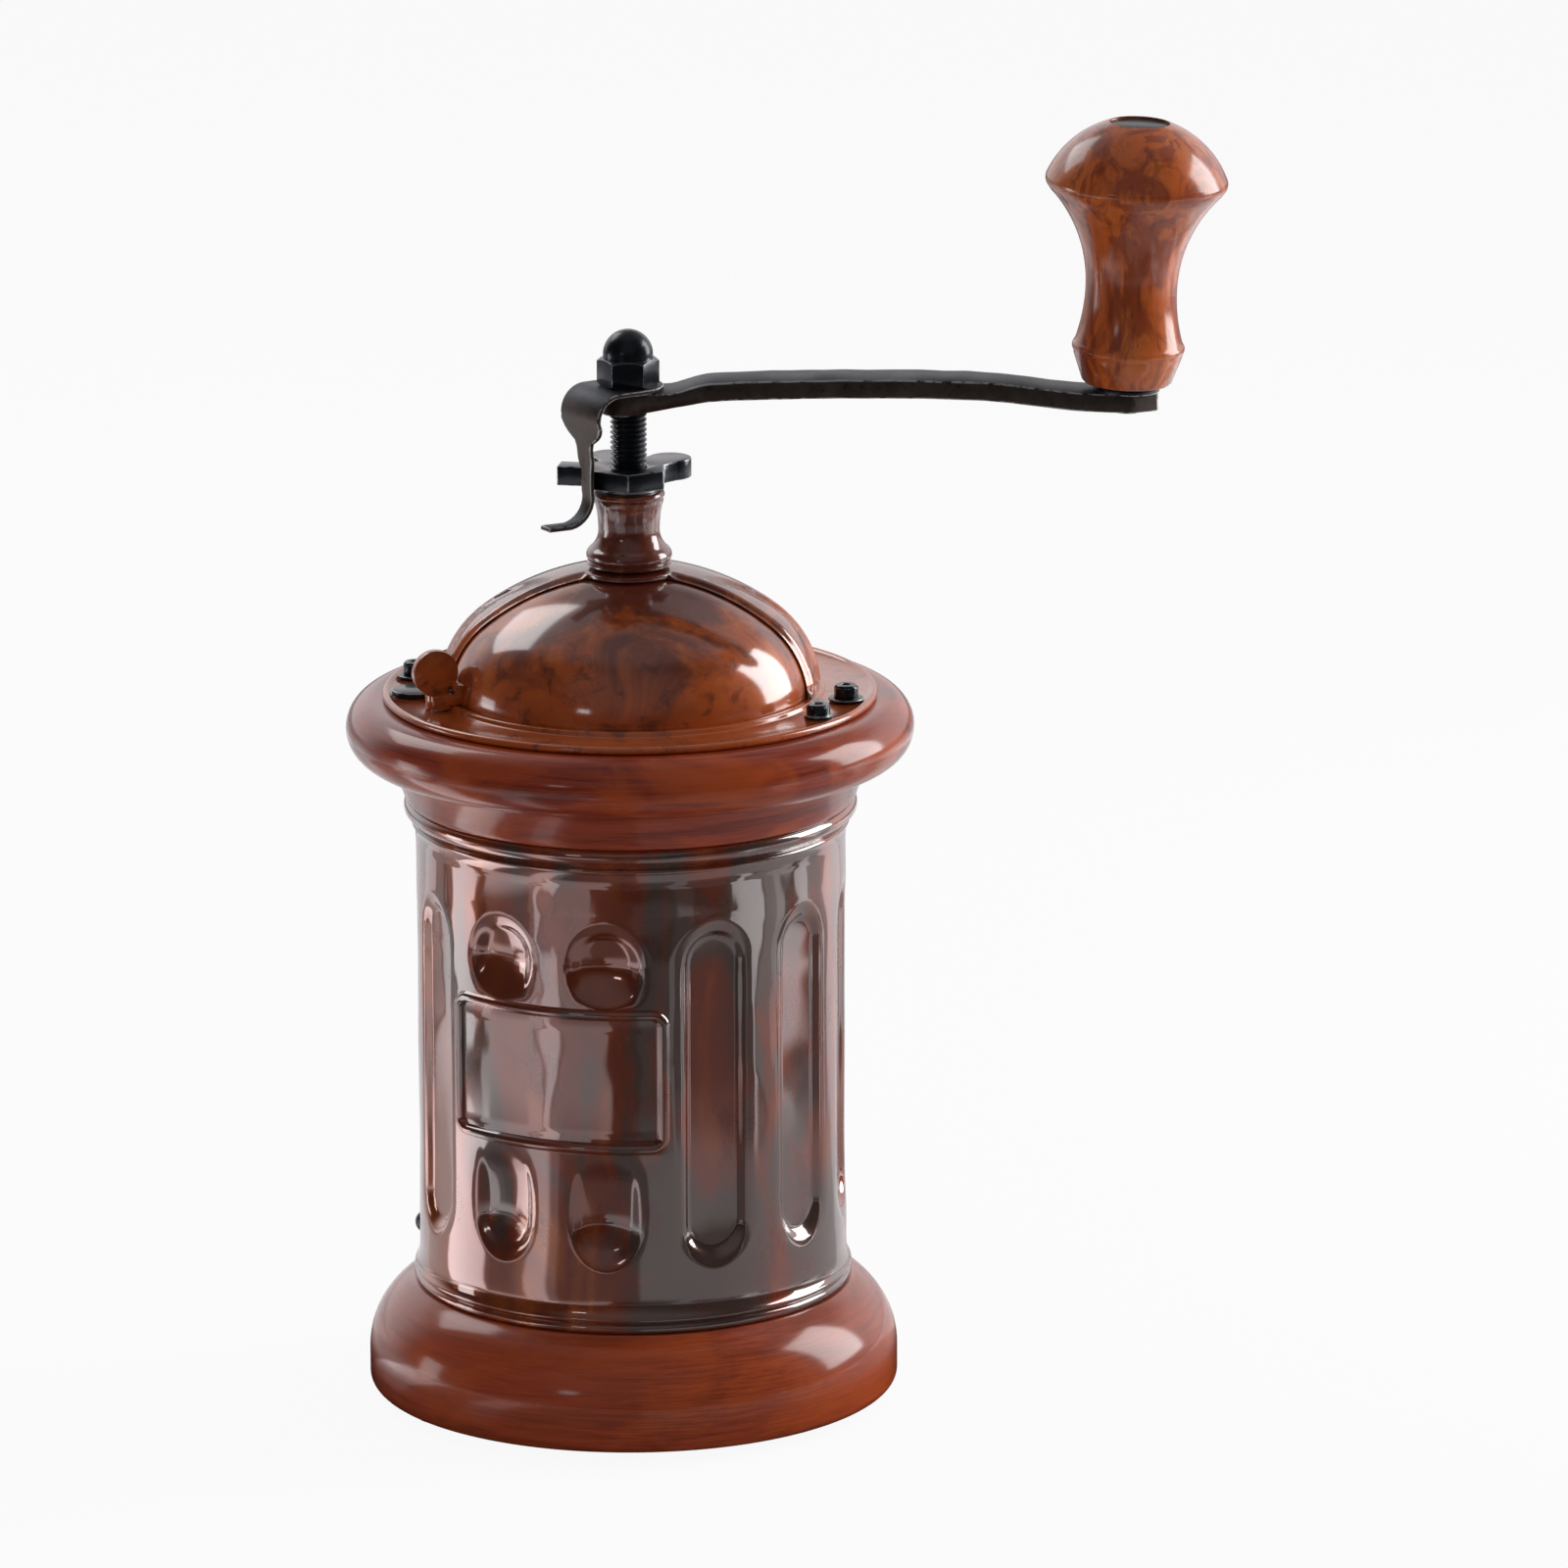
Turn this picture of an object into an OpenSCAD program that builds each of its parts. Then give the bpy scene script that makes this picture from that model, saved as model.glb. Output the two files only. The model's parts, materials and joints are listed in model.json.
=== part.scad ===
// Manual coffee grinder with a fluted canister, a domed bean hopper and a forged crank.
// Millimetres, +Z up. The origin is on the spindle's axis at the plane the rubber pads stand on.
// The crank arm points along +X at rest.

/* [Base] */
// Height of the rubber pads that show under the wood
pad_h = 1.6; // [1:0.2:3]
// Diameter of a rubber pad
pad_d = 15; // [10:1:16]
// Widest diameter of the wooden base
base_d = 128.5; // [124:0.5:136]
// Height of the wooden base from its underside to the canister's ledge
base_h = 27.2; // [24:0.4:34]
// Height of the base's straight side above the underside
base_side_h = 9.3; // [7:0.5:12]
// Radius of the round at the base's foot
foot_round = 2.6; // [1.5:0.1:3]
// Height of the wooden plug inside the canister, above the ledge
plug_h = 14.8; // [12:0.2:15]
// Depth of the bowl turned into the plug for the ground coffee
bowl_depth = 12.8; // [8:0.2:13]

/* [Canister] */
// Outer diameter of the canister's wall
can_d = 103.6; // [102:0.2:106]
// Thickness of the pressed sheet
can_wall = 0.8; // [0.6:0.1:1.2]
// Height of the canister from the ledge to its rolled rim
can_h = 120.5; // [116:0.5:130]
// Radius of the small roll at the canister's foot
foot_roll_r = 1.3; // [1:0.1:1.6]
// Radius of the roll at the canister's rim
rim_roll_r = 2.2; // [1.8:0.1:2.6]
// Number of flutes around the canister
flute_n = 12; // [8:1:12]
// Depth of a flute
flute_depth = 2.5; // [1.5:0.1:3]
// Width of a flute at the wall
flute_w = 17; // [12:0.5:19]
// Height of a flute's lower end above the ledge
flute_low = 15.2; // [13:0.2:22]
// Length of a flute
flute_len = 86.4; // [76:0.4:90]

/* [Plaque] */
// Angle the plaque faces, from the crank's direction
plaque_angle = -111.5; // [-120:0.5:-100]
// Width of the plaque, measured straight across
plaque_w = 55.6; // [48:0.4:60]
// Height of the plaque
plaque_h = 36; // [28:0.5:40]
// Height of the plaque's centre above the ledge
plaque_z = 62.6; // [56:0.2:66]
// Corner radius of the plaque
plaque_corner = 3.6; // [2:0.2:6]
// Width of the plaque's raised frame
plaque_bead_w = 2.2; // [1.5:0.1:3]
// Height of the raised frame above the wall
plaque_bead_h = 0.9; // [0.5:0.1:1.4]

/* [Collar] */
// Widest diameter of the wooden collar
collar_d = 136.8; // [132:0.4:144]
// Height of the collar from its seat to its top
collar_h = 24.5; // [24:0.5:28]
// Radius of the collar's round edge
collar_round = 7.4; // [6:0.2:8]
// Diameter of the collar's bore
collar_bore_d = 86; // [84:0.5:88]
// Depth of the collar's spigot inside the canister
spigot_h = 8; // [6:0.5:12]
// Clearance of the spigot inside the canister
spigot_gap = 0.4; // [0.2:0.1:0.8]

/* [Dome] */
// Diameter of the dome cover's flange
flange_d = 119.2; // [114:0.2:120]
// Diameter of the fixed half-dome at the flange
dome_d = 92; // [90:0.5:94]
// Height of the dome above the flange
dome_h = 31.2; // [28:0.2:34]
// Thickness of the fixed half-dome
dome_wall = 1.2; // [0.9:0.1:1.6]
// How far the fixed half reaches in front of the axis
dome_front = 13; // [10:0.5:16]
// Width of the border band along the fixed half's front edge
border_w = 3; // [2:0.5:5]
// Depth of the sunken crescent panels
panel_depth = 0.7; // [0.4:0.1:0.8]
// Thickness of the sliding door
door_wall = 0.8; // [0.6:0.1:1]
// Clearance between the door and the fixed half
door_gap = 0.3; // [0.2:0.05:0.5]

/* [Door tab] */
// Angle of the finger tab when the door is shut
tab_angle = 199.5; // [198:0.5:204]
// Diameter of the tab's round plate
tab_d = 11; // [9:0.5:12]
// Thickness of the tab's plate
tab_t = 2.2; // [1.6:0.1:3]
// Distance of the tab from the axis
tab_r = 48.8; // [48.5:0.1:49.5]

/* [Flange screws] */
// Distance of the flange screws from the axis
screw_pitch_r = 53.3; // [52:0.1:53.6]
// Diameter of a screw head
screw_head_d = 5.8; // [5:0.1:6.4]
// Height of a screw head
screw_head_h = 3.2; // [2.4:0.1:3.6]
// Diameter of a screw's shank
shank_d = 3.8; // [3:0.1:4]
// Angle of the screw that stops the open door
stop_screw_angle = -32; // [-34:0.5:-30]

/* [Neck and nut] */
// Height of the neck from the dome to its top
neck_h = 18.2; // [16:0.2:20]
// Diameter of the neck's top rim
neck_top_d = 17; // [16:0.2:18]
// Diameter of the neck's waist
neck_waist_d = 14.8; // [14:0.2:16]
// Diameter of the neck's bulge above its foot
neck_bulge_d = 19.6; // [18:0.2:20]
// Diameter of the pivot that the door turns on
pivot_d = 14; // [13:0.2:15]
// Thickness of the thrust washer on the neck
thrust_t = 1; // [0.8:0.1:1.5]
// Thickness of the adjusting nut
nut_t = 4.7; // [4:0.1:5.4]
// Width across the flats of the adjusting nut's hub
nut_af = 17; // [16:0.2:17.4]
// Reach of the adjusting nut's rounded fingers
finger_reach = 19; // [17:0.2:20]

/* [Spindle] */
// Diameter of the spindle's threaded part
spindle_d = 8.8; // [8.4:0.1:9]
// Diameter of the spindle's plain shaft and of its top
shaft_d = 8; // [7.6:0.1:8.2]
// Radial clearance of every running fit
running_gap = 0.06; // [0.03:0.01:0.1]

/* [Crank] */
// Distance from the spindle's axis to the knob's axis at the arm
crank_r = 119; // [105:1:125]
// Width of the arm
arm_w = 12.4; // [11:0.2:13]
// Height of the arm's underside above the adjusting nut
arm_gap = 13.1; // [12.5:0.1:14.5]
// Thickness of the arm at the hub
arm_hub_t = 5.9; // [5:0.1:7]
// Thickness of the arm along its length
arm_t = 4.5; // [4:0.1:5]
// Length of the arm past the knob's axis
arm_tip = 7.6; // [6.5:0.1:9]
// Thickness of the lock clip's sheet
clip_t = 1.1; // [0.9:0.1:1.3]
// Width of the lock clip at its plate
clip_w = 17; // [15:0.5:18]
// Width of the lock clip's leg
leg_w = 4.3; // [3.6:0.1:5]
// Direction the lock clip points
clip_angle = 212; // [208:1:216]
// Width across the flats of the cap nut
cap_af = 13; // [12:0.2:14]

/* [Knob] */
// Greatest diameter of the knob
knob_d = 43.6; // [40:0.4:46]
// Diameter of the knob's waist
waist_d = 21.9; // [20:0.1:24]
// Diameter of the knob's lower bead
bead_d = 27; // [26:0.5:29]
// Diameter of the knob's foot
knob_foot_d = 21.6; // [20:0.2:23]
// Diameter of the pin the knob spins on
pin_d = 6; // [5:0.2:6.4]
// Thickness of the washer under the knob
knob_washer_t = 1.9; // [1:0.1:2.4]
// Diameter of the black plug in the knob's top
plug_d = 14.4; // [12:0.2:16]
// Lean of the knob away from the spindle
knob_lean = 2.6; // [1:0.2:4]

/* [Mill] */
// Outer diameter of the outer burr
burr_d = 44; // [42:0.5:46]
// Height of the outer burr
burr_h = 14.4; // [12:0.2:15]
// Number of teeth on the inner burr
inner_teeth = 12; // [8:1:16]
// Number of teeth in the outer burr
outer_teeth = 24; // [16:1:32]
// Gap between the crests of the two burrs
burr_gap = 0.4; // [0.3:0.05:0.8]
// Thickness of the funnel's sheet
funnel_t = 0.8; // [0.6:0.1:1]
// Thickness of the mill frame's arms
frame_t = 4; // [3:0.5:5]

/* [Hidden] */

$fn = 96;
eps = 0.01;
big = 300;

wood_red = [0.43, 0.14, 0.07];
wood_knob = [0.62, 0.26, 0.09];
lacquer = [0.36, 0.14, 0.07];
black_steel = [0.09, 0.10, 0.11];
forged = [0.20, 0.18, 0.17];
cast_grey = [0.33, 0.33, 0.34];
plain_steel = [0.62, 0.62, 0.63];
rubber_grey = [0.22, 0.25, 0.30];

// Base heights
wood_z = pad_h;
ledge_z = pad_h + base_h;
side_z = wood_z + base_side_h;
can_r = can_d / 2;
can_ri = can_r - can_wall;
base_r = base_d / 2;
base_rim_r = can_r + 1.8;
base_rim_z = ledge_z - 0.4;
base_flat_r = base_r - 8;
foot_rise = 0.8;
plug_gap = 0.1;
plug_r = can_ri - plug_gap;
bowl_r = can_ri - 5;
bowl_round = 4;
pad_inset = 17;
pad_stray = 4;
pad_hole = 1;
pad_pitch_r = base_r - pad_inset;
// Angle and distance from the axis of each pad; the last one is under the middle
pad_places = [[209, pad_pitch_r + pad_stray], [329, pad_pitch_r], [89, pad_pitch_r], [0, 0]];

// Canister heights
seat_z = ledge_z + can_h;
foot_flare_h = 7.5;
foot_flare = 0.7;
rim_flare_h = 7.5;
rim_flare = 1.4;
flute_r = (pow(flute_w / 2, 2) + pow(flute_depth - flute_w * flute_w / (8 * can_r), 2))
          / (2 * (flute_depth - flute_w * flute_w / (8 * can_r)));
flute_c = can_r - flute_depth + flute_r;
flute_end = sqrt(flute_r * flute_r - pow(flute_r - flute_depth, 2));
flute_half = flute_len / 2 - flute_end;
flute_mid_z = ledge_z + flute_low + flute_len / 2;
flute_step = 360 / flute_n;
flute_start = plaque_angle + flute_step / 2;
plaque_recess = 0.3;
plaque_reach = 16;
can_screw_z = ledge_z + 11.2;
can_screw_angles = [173.5, 53.5];
can_screw_head_d = 5.2;
can_screw_head_h = 1.7;
can_screw_shank_d = 2.6;
can_screw_len = 4;

// Collar heights
collar_top = seat_z + collar_h;
collar_r = collar_d / 2;
collar_bore_r = collar_bore_d / 2;
taper_low_r = can_r + rim_flare + 1.2;
taper_high_r = taper_low_r + 4.1;
taper_h = 9.3;
spigot_r = can_ri - spigot_gap;
spigot_z = seat_z - spigot_h;
rebate_r = collar_bore_r + 6;

// Dome heights. Its profile is a shoulder arc and a crown arc that meet smoothly, where the
// line through their centres has the slope of a triangle with sides 3, 4 and 5.
sheet_t = 0.8;
flange_z = collar_top + 0.4;
flange_top = flange_z + sheet_t;
flange_r = flange_d / 2;
flange_roll_r = 1;
dome_r = dome_d / 2;
dome_top = flange_top + dome_h;
dome_spread = dome_r - dome_h;
shoulder_c = 1.5 * dome_spread;
shoulder_r = dome_r - shoulder_c;
crown_z = flange_top - 2 * dome_spread;
crown_r = shoulder_r + 2.5 * dome_spread;
meet_slope = 0.8;
hem_h = 1.1;
hem_w = 1.5;
hub_r = 11.5;
fillet_r = 2;
door_out = dome_wall + door_gap;
door_in = door_out + door_wall;
door_r = dome_r - door_out;
hem_r = door_r + door_gap + hem_w;
door_low = flange_z + door_gap;
door_lap = 6;
panel_r = 18.5;
panel_x = dome_r * 2 / 3;
door_hub_r = 11;

// Tab and stops
tab_floor = flange_top + 0.4;
tab_foot_z = flange_top + hem_h + 0.4;
tab_foot_h = 2.2;
tab_foot_w = 6.8;
tab_shift = 2.1;
tab_neck_w = 4;
tab_plate_z = tab_foot_z + tab_foot_h + tab_d / 2 - 0.8;
tab_rivet_d = 3;
plate_t = 1.6;
plate_w = 10.6;
plate_pin_len = 4;
plate_inner = dome_r + fillet_r + 0.3;
plate_outer = flange_r - 2 * flange_roll_r - 0.2;
plate_angle = tab_angle - 13.9;
washer_d = 8.6;
washer_t = 1;
screw_angles = [-13, 167];
screw_depth = 14;
shank_z = collar_top - screw_depth + 0.6;

// Neck
neck_z = dome_top;
neck_top = neck_z + neck_h;
spindle_r = spindle_d / 2;
shaft_r = shaft_d / 2;
bore_r = spindle_r + running_gap;
pivot_r = pivot_d / 2;
neck_foot_h = 1;
neck_foot_r = neck_bulge_d / 2 + 1.1;
neck_rim_h = 2.4;
bulge_round = 2.2;
pivot_low = dome_top - door_in - 1.2;
neck_thread_r = pivot_r - 1;
neck_nut_h = 4;
neck_nut_r = 10;

// Nut, arm and cap nut heights
nut_z = neck_top + thrust_t;
nut_top = nut_z + nut_t;
arm_z = nut_top + arm_gap;
arm_top = arm_z + arm_hub_t;
clip_top = arm_top + clip_t;
cap_hex_h = 6.5;
cap_r = cap_af / 2 - 0.5;
cap_cyl_h = 1;
cap_corner = cap_af / 2 / cos(30);
cap_chamfer = 1;
cap_chamfer_h = 0.6;
flat_af = 6.4;
shoulder_z = arm_z;
spindle_top = clip_top + cap_hex_h + 3;
spindle_thread_low = neck_z - 4;
finger_r = 5.2;
finger_w = 9.4;
finger_angles = [45, 108];
lug_angle = 170;
lug_w = 5.6;
lug_reach = finger_reach - 2;
thrust_r = 7;

// Arm profile, rising from the hub and falling to the knob
end_slope = tan(knob_lean);
arm_hub_r = arm_w / 2 + 0.6;
arm_rise = 2.6;
arm_flat = clip_w / 2 + 0.2;
arm_crown = 3.3;
knob_seat = arm_top - 0.5;
// Each station is the distance along the arm, the top's height and its slope
arm_stations = [
    [arm_flat, arm_top, 0],
    [20, arm_top + arm_rise, 0.05],
    [crank_r / 2, arm_top + arm_crown, 0],
    [crank_r * 0.715, arm_top + arm_rise, -0.05],
    [crank_r - 9, knob_seat + 9 * end_slope, -end_slope],
    [crank_r + arm_tip, knob_seat - arm_tip * end_slope, -end_slope]
];
arm_steps = 8;
tip_chamfer_x = 6.6;
tip_chamfer_y = 4.3;
square_gap = 0.04;

// Clip profile
clip_bend_r = 6.4;
clip_out = 13.8;
leg_in = 10.9;
leg_low_z = neck_top - 6.2;
tail_reach = 23.4;
tail_round = 6;

// Knob, in its own frame with the foot at zero
knob_h = 63.2;
bead_h = 8.7;
bead_round = 1.7;
waist_h = 23;
cap_edge_h = 46.7;
cap_rim_r = 2.5;
cap_dome_r = 23.5;
cap_rim_c = knob_d / 2 - cap_rim_r;
cap_rim_h = cap_edge_h + cap_rim_r;
cap_dome_h = cap_rim_h - sqrt(pow(cap_dome_r - cap_rim_r, 2) - pow(cap_rim_c, 2));
cap_meet = atan2(cap_rim_h - cap_dome_h, cap_rim_c);
neck_edge_r = knob_d / 2 - 1.2;
plug_h_knob = 3;
plug_clear = 0.4;
pin_r = pin_d / 2;
pin_head_r = 5;
pin_head_h = 2.4;
pin_head_z = 50;
rivet_h = 0.7;
rivet_r = 4.4;
pin_well_r = pin_head_r + 0.5;

// Mill heights
frame_top = collar_top - 23.8;
frame_ring_r = burr_d / 2;
frame_ring_t = 4;
burr_z = frame_top - 17.4;
burr_top = burr_z + burr_h;
bridge_t = 3;
bridge_w = 8;
bridge_boss_r = 7.5;
bridge_boss_h = 8;
crest_low_r = 17.4;
crest_high_r = 9.2;
inner_z = burr_z + 0.4;
inner_h = burr_h - 0.9;
inner_skirt = 3;
nut_hex_af = 13;
burr_nut_h = 5;
spindle_low = inner_z - inner_skirt - burr_nut_h - 1.5;
frame_arm_r = can_ri - 3.4;
frame_arm_w = 14;
frame_screw_r = can_ri - 6;
frame_screw_d = 3.4;
frame_screw_len = 9;
frame_head_d = 6.4;
frame_head_h = 2.2;
throat_r = burr_d / 2 - 1;
frame_arm_angles = [30, 150, 270];

function hermite(a, b, t) =
    let (
        d = b[0] - a[0],
        h00 = 2 * pow(t, 3) - 3 * t * t + 1,
        h10 = pow(t, 3) - 2 * t * t + t,
        h01 = -2 * pow(t, 3) + 3 * t * t,
        h11 = pow(t, 3) - t * t
    )
    [a[0] + d * t, h00 * a[1] + h10 * d * a[2] + h01 * b[1] + h11 * d * b[2]];

function arm_line() = [
    for (i = [0 : len(arm_stations) - 2])
        for (k = [0 : arm_steps - 1])
            hermite(arm_stations[i], arm_stations[i + 1], k / arm_steps),
    [crank_r + arm_tip, knob_seat - arm_tip * end_slope]
];

function arm_depth(x) = arm_t + (arm_hub_t - arm_t) * max(0, 1 - max(0, x - 4) / 14);

function arc(cx, cy, r, a0, a1, n) = [
    for (k = [0 : n]) [cx + r * cos(a0 + (a1 - a0) * k / n), cy + r * sin(a0 + (a1 - a0) * k / n)]
];

// A sheet of constant thickness along a chain of points, as one closed outline
function side_point(p, i, t) =
    let (
        a = p[max(0, i - 1)],
        b = p[min(len(p) - 1, i + 1)],
        d = (b - a) / norm(b - a)
    )
    p[i] + t * [-d[1], d[0]];

function ribbon(p, t) = concat(p, [for (i = [len(p) - 1 : -1 : 0]) side_point(p, i, t)]);

module ring(r_out, r_in, z0, h) {
    translate([0, 0, z0])
        difference() {
            cylinder(r = r_out, h = h);
            translate([0, 0, -1]) cylinder(r = r_in, h = h + 2);
        }
}

module hexagon(af, h) {
    cylinder(r = af / 2 / cos(30), h = h, $fn = 6);
}

// Region under the dome's two arcs, taken in by an offset, down to a given depth
module dome_area(off, drop) {
    meet_z = flange_top + (shoulder_r - off) * meet_slope;
    intersection() {
        translate([0, crown_z]) circle(crown_r - off);
        translate([0, meet_z]) square([dome_r, dome_h]);
    }
    intersection() {
        translate([shoulder_c, flange_top]) circle(shoulder_r - off);
        translate([0, flange_top]) square([dome_r, meet_z - flange_top]);
    }
    translate([0, flange_top]) square([shoulder_c, meet_z - flange_top]);
    translate([0, flange_top - drop]) square([dome_r - off, drop]);
}

module dome_skin(off_out, off_in, drop) {
    rotate_extrude()
        intersection() {
            difference() {
                dome_area(off_out, drop);
                dome_area(off_in, drop + 1);
            }
            translate([0, flange_top - drop]) square([dome_r + 1, dome_h + drop + 1]);
        }
}

module base() {
    shoulder_in = base_r - base_rim_r;
    shoulder_up = base_rim_z - side_z;
    shoulder_r = (shoulder_in * shoulder_in + shoulder_up * shoulder_up) / (2 * shoulder_in);
    color(wood_red)
        difference() {
            rotate_extrude() {
                polygon([
                    [0, wood_z], [base_flat_r, wood_z], [base_r - foot_round, wood_z + foot_rise],
                    [base_r - foot_round, side_z], [0, side_z]
                ]);
                intersection() {
                    translate([base_r - foot_round, wood_z + foot_rise + foot_round]) circle(foot_round);
                    translate([0, wood_z]) square([big, foot_rise + foot_round]);
                }
                translate([0, wood_z + foot_rise + foot_round])
                    square([base_r, side_z - wood_z - foot_rise - foot_round]);
                intersection() {
                    translate([base_r - shoulder_r, side_z]) circle(shoulder_r);
                    translate([0, side_z]) square([base_r, shoulder_up]);
                }
                translate([0, side_z]) square([base_rim_r, shoulder_up]);
                translate([0, base_rim_z]) square([base_rim_r - 0.6, ledge_z - base_rim_z]);
                translate([0, ledge_z - 1]) square([plug_r, plug_h + 1]);
            }
            rotate_extrude() bowl_area();
            can_screw_places() translate([0, 0, -can_screw_len]) cylinder(d = can_screw_shank_d, h = big);
            pad_spots() cylinder(d = pad_d, h = pad_h + pad_hole);
        }
}

// Hollow of the bowl, with a round at its foot
module bowl_area() {
    floor_z = ledge_z + plug_h - bowl_depth;
    translate([0, floor_z]) square([bowl_r - bowl_round, bowl_depth + 1]);
    translate([0, floor_z + bowl_round]) square([bowl_r, bowl_depth - bowl_round + 1]);
    translate([bowl_r - bowl_round, floor_z + bowl_round]) circle(bowl_round);
}

module pad_spots() {
    for (p = pad_places)
        rotate([0, 0, p[0]])
            translate([p[1], 0, 0])
                children();
}

module base_pads() {
    color(rubber_grey)
        pad_spots() cylinder(d = pad_d - 0.02, h = pad_h + pad_hole);
}

module can_screw_places() {
    for (a = can_screw_angles)
        rotate([0, 0, a])
            translate([can_r, 0, can_screw_z])
                rotate([0, 90, 0])
                    children();
}

module canister_screws() {
    color(black_steel)
        can_screw_places() {
            intersection() {
                sphere_r = (pow(can_screw_head_d / 2, 2) + pow(can_screw_head_h, 2)) / (2 * can_screw_head_h);
                translate([0, 0, can_screw_head_h - sphere_r]) sphere(r = sphere_r);
                cylinder(d = can_screw_head_d, h = big);
            }
            translate([0, 0, -can_screw_len]) cylinder(d = can_screw_shank_d - 0.04, h = can_screw_len + 0.6);
        }
}

// A flute's solid: a straight rod with round ends, standing beside the wall
module flute_rod(grow) {
    r = flute_r + grow;
    rotate_extrude()
        intersection() {
            union() {
                translate([0, -flute_half]) square([r, 2 * flute_half]);
                translate([0, flute_half]) circle(r);
                translate([0, -flute_half]) circle(r);
            }
            translate([0, -big]) square([big, 2 * big]);
        }
}

module flutes(grow, behind_plaque) {
    for (i = [0 : flute_n - 1]) {
        a = flute_start + i * flute_step;
        off = abs((a - plaque_angle + 540) % 360 - 180);
        covered = off < asin(min(1, plaque_w / 2 / can_r));
        if (covered == behind_plaque)
            rotate([0, 0, a])
                translate([flute_c, 0, flute_mid_z])
                    flute_rod(grow);
    }
}

// A block with rounded corners that passes through the wall where the plaque is
module plaque_block(inset) {
    w = plaque_w - 2 * inset;
    h = plaque_h - 2 * inset;
    c = max(0.4, plaque_corner - inset);
    rotate([0, 0, plaque_angle])
        translate([can_r - plaque_reach, 0, ledge_z + plaque_z])
            rotate([90, 0, 90])
                linear_extrude(2 * plaque_reach) {
                    square([w - 2 * c, h], center = true);
                    square([w, h - 2 * c], center = true);
                    for (x = [-1, 1], y = [-1, 1])
                        translate([x * (w / 2 - c), y * (h / 2 - c)]) circle(c);
                }
}

module can_profile() {
    roll_z = ledge_z + foot_roll_r - 0.2;
    rim_z = seat_z - rim_roll_r + 0.2;
    intersection() {
        union() {
            translate([0, ledge_z]) square([can_r, can_h]);
            polygon([
                [0, ledge_z], [can_r + foot_flare, ledge_z],
                [can_r + foot_flare, ledge_z + 2 * foot_roll_r],
                [can_r, ledge_z + foot_flare_h], [0, ledge_z + foot_flare_h]
            ]);
            translate([can_r + 1 - foot_roll_r, roll_z]) circle(foot_roll_r);
            polygon([
                [0, seat_z - rim_flare_h], [can_r, seat_z - rim_flare_h],
                [can_r + rim_flare, rim_z], [can_r + rim_flare, seat_z], [0, seat_z]
            ]);
            translate([can_r + 3 - rim_roll_r, rim_z]) circle(rim_roll_r);
        }
        translate([0, ledge_z]) square([big, can_h]);
    }
}

// All flutes, those at the plaque cut short by its block
module all_flutes(grow, inset) {
    flutes(grow, false);
    difference() {
        flutes(grow, true);
        plaque_block(inset);
    }
}

// The canister's outside as a solid, flutes and plaque included
module can_outside() {
    difference() {
        union() {
            rotate_extrude() can_profile();
            intersection() {
                translate([0, 0, ledge_z + 10]) cylinder(r = can_r + plaque_bead_h, h = can_h - 20);
                plaque_block(0);
            }
        }
        all_flutes(0, 0);
        intersection() {
            ring(can_r + 5, can_r - plaque_recess, ledge_z + 10, can_h - 20);
            plaque_block(plaque_bead_w);
        }
    }
}

// The canister's inside as a solid, the same flutes one wall thicker
module can_inside() {
    difference() {
        translate([0, 0, ledge_z - 1]) cylinder(r = can_ri, h = can_h + 2);
        all_flutes(can_wall, can_wall);
    }
}

module canister() {
    color(lacquer)
        difference() {
            can_outside();
            can_inside();
            can_screw_places() translate([0, 0, -5]) cylinder(d = can_screw_shank_d, h = 10);
        }
}

module collar() {
    c_r = collar_r - collar_round;
    c_z = collar_top - collar_round;
    color(wood_red)
        difference() {
            rotate_extrude()
                difference() {
                    union() {
                        polygon([
                            [collar_bore_r, spigot_z], [spigot_r - 0.6, spigot_z], [spigot_r, spigot_z + 0.6],
                            [spigot_r, seat_z], [taper_low_r, seat_z], [taper_high_r, seat_z + taper_h],
                            [c_r, seat_z + taper_h], [c_r, collar_top], [collar_bore_r, collar_top]
                        ]);
                        translate([c_r, c_z]) circle(collar_round);
                    }
                    translate([0, flange_z - funnel_t]) square([rebate_r, 5]);
                }
            flange_screw_spots(screw_angles) shank_hole();
            flange_screw_spots([stop_screw_angle]) shank_hole();
            flange_screw_spots([plate_angle])
                translate([0, 0, collar_top - plate_pin_len]) cylinder(d = tab_rivet_d, h = big);
            frame_screw_spots() translate([0, 0, -1]) cylinder(d = frame_screw_d, h = frame_screw_len + 2);
        }
}

module shank_hole() {
    translate([0, 0, collar_top - screw_depth + 0.5]) cylinder(d = shank_d, h = big);
}

module flange_screw_spots(angles) {
    for (a = angles)
        rotate([0, 0, a])
            translate([screw_pitch_r, 0, 0])
                children();
}

module side_window() {
    translate([-big, -dome_front, 0]) cube([2 * big, big, big]);
    cylinder(r = hub_r, h = big);
}

// Sunken crescent beside the border band, the same on both sides
module crescents() {
    for (s = [-1, 1])
        intersection() {
            translate([s * panel_x, -dome_front + border_w - 2.4, flange_top - 1])
                cylinder(r = panel_r, h = big);
            translate([s > 0 ? 12 : -big, -dome_front + border_w, flange_top + 0.6])
                cube([big - 12, big, big]);
        }
}

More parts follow.
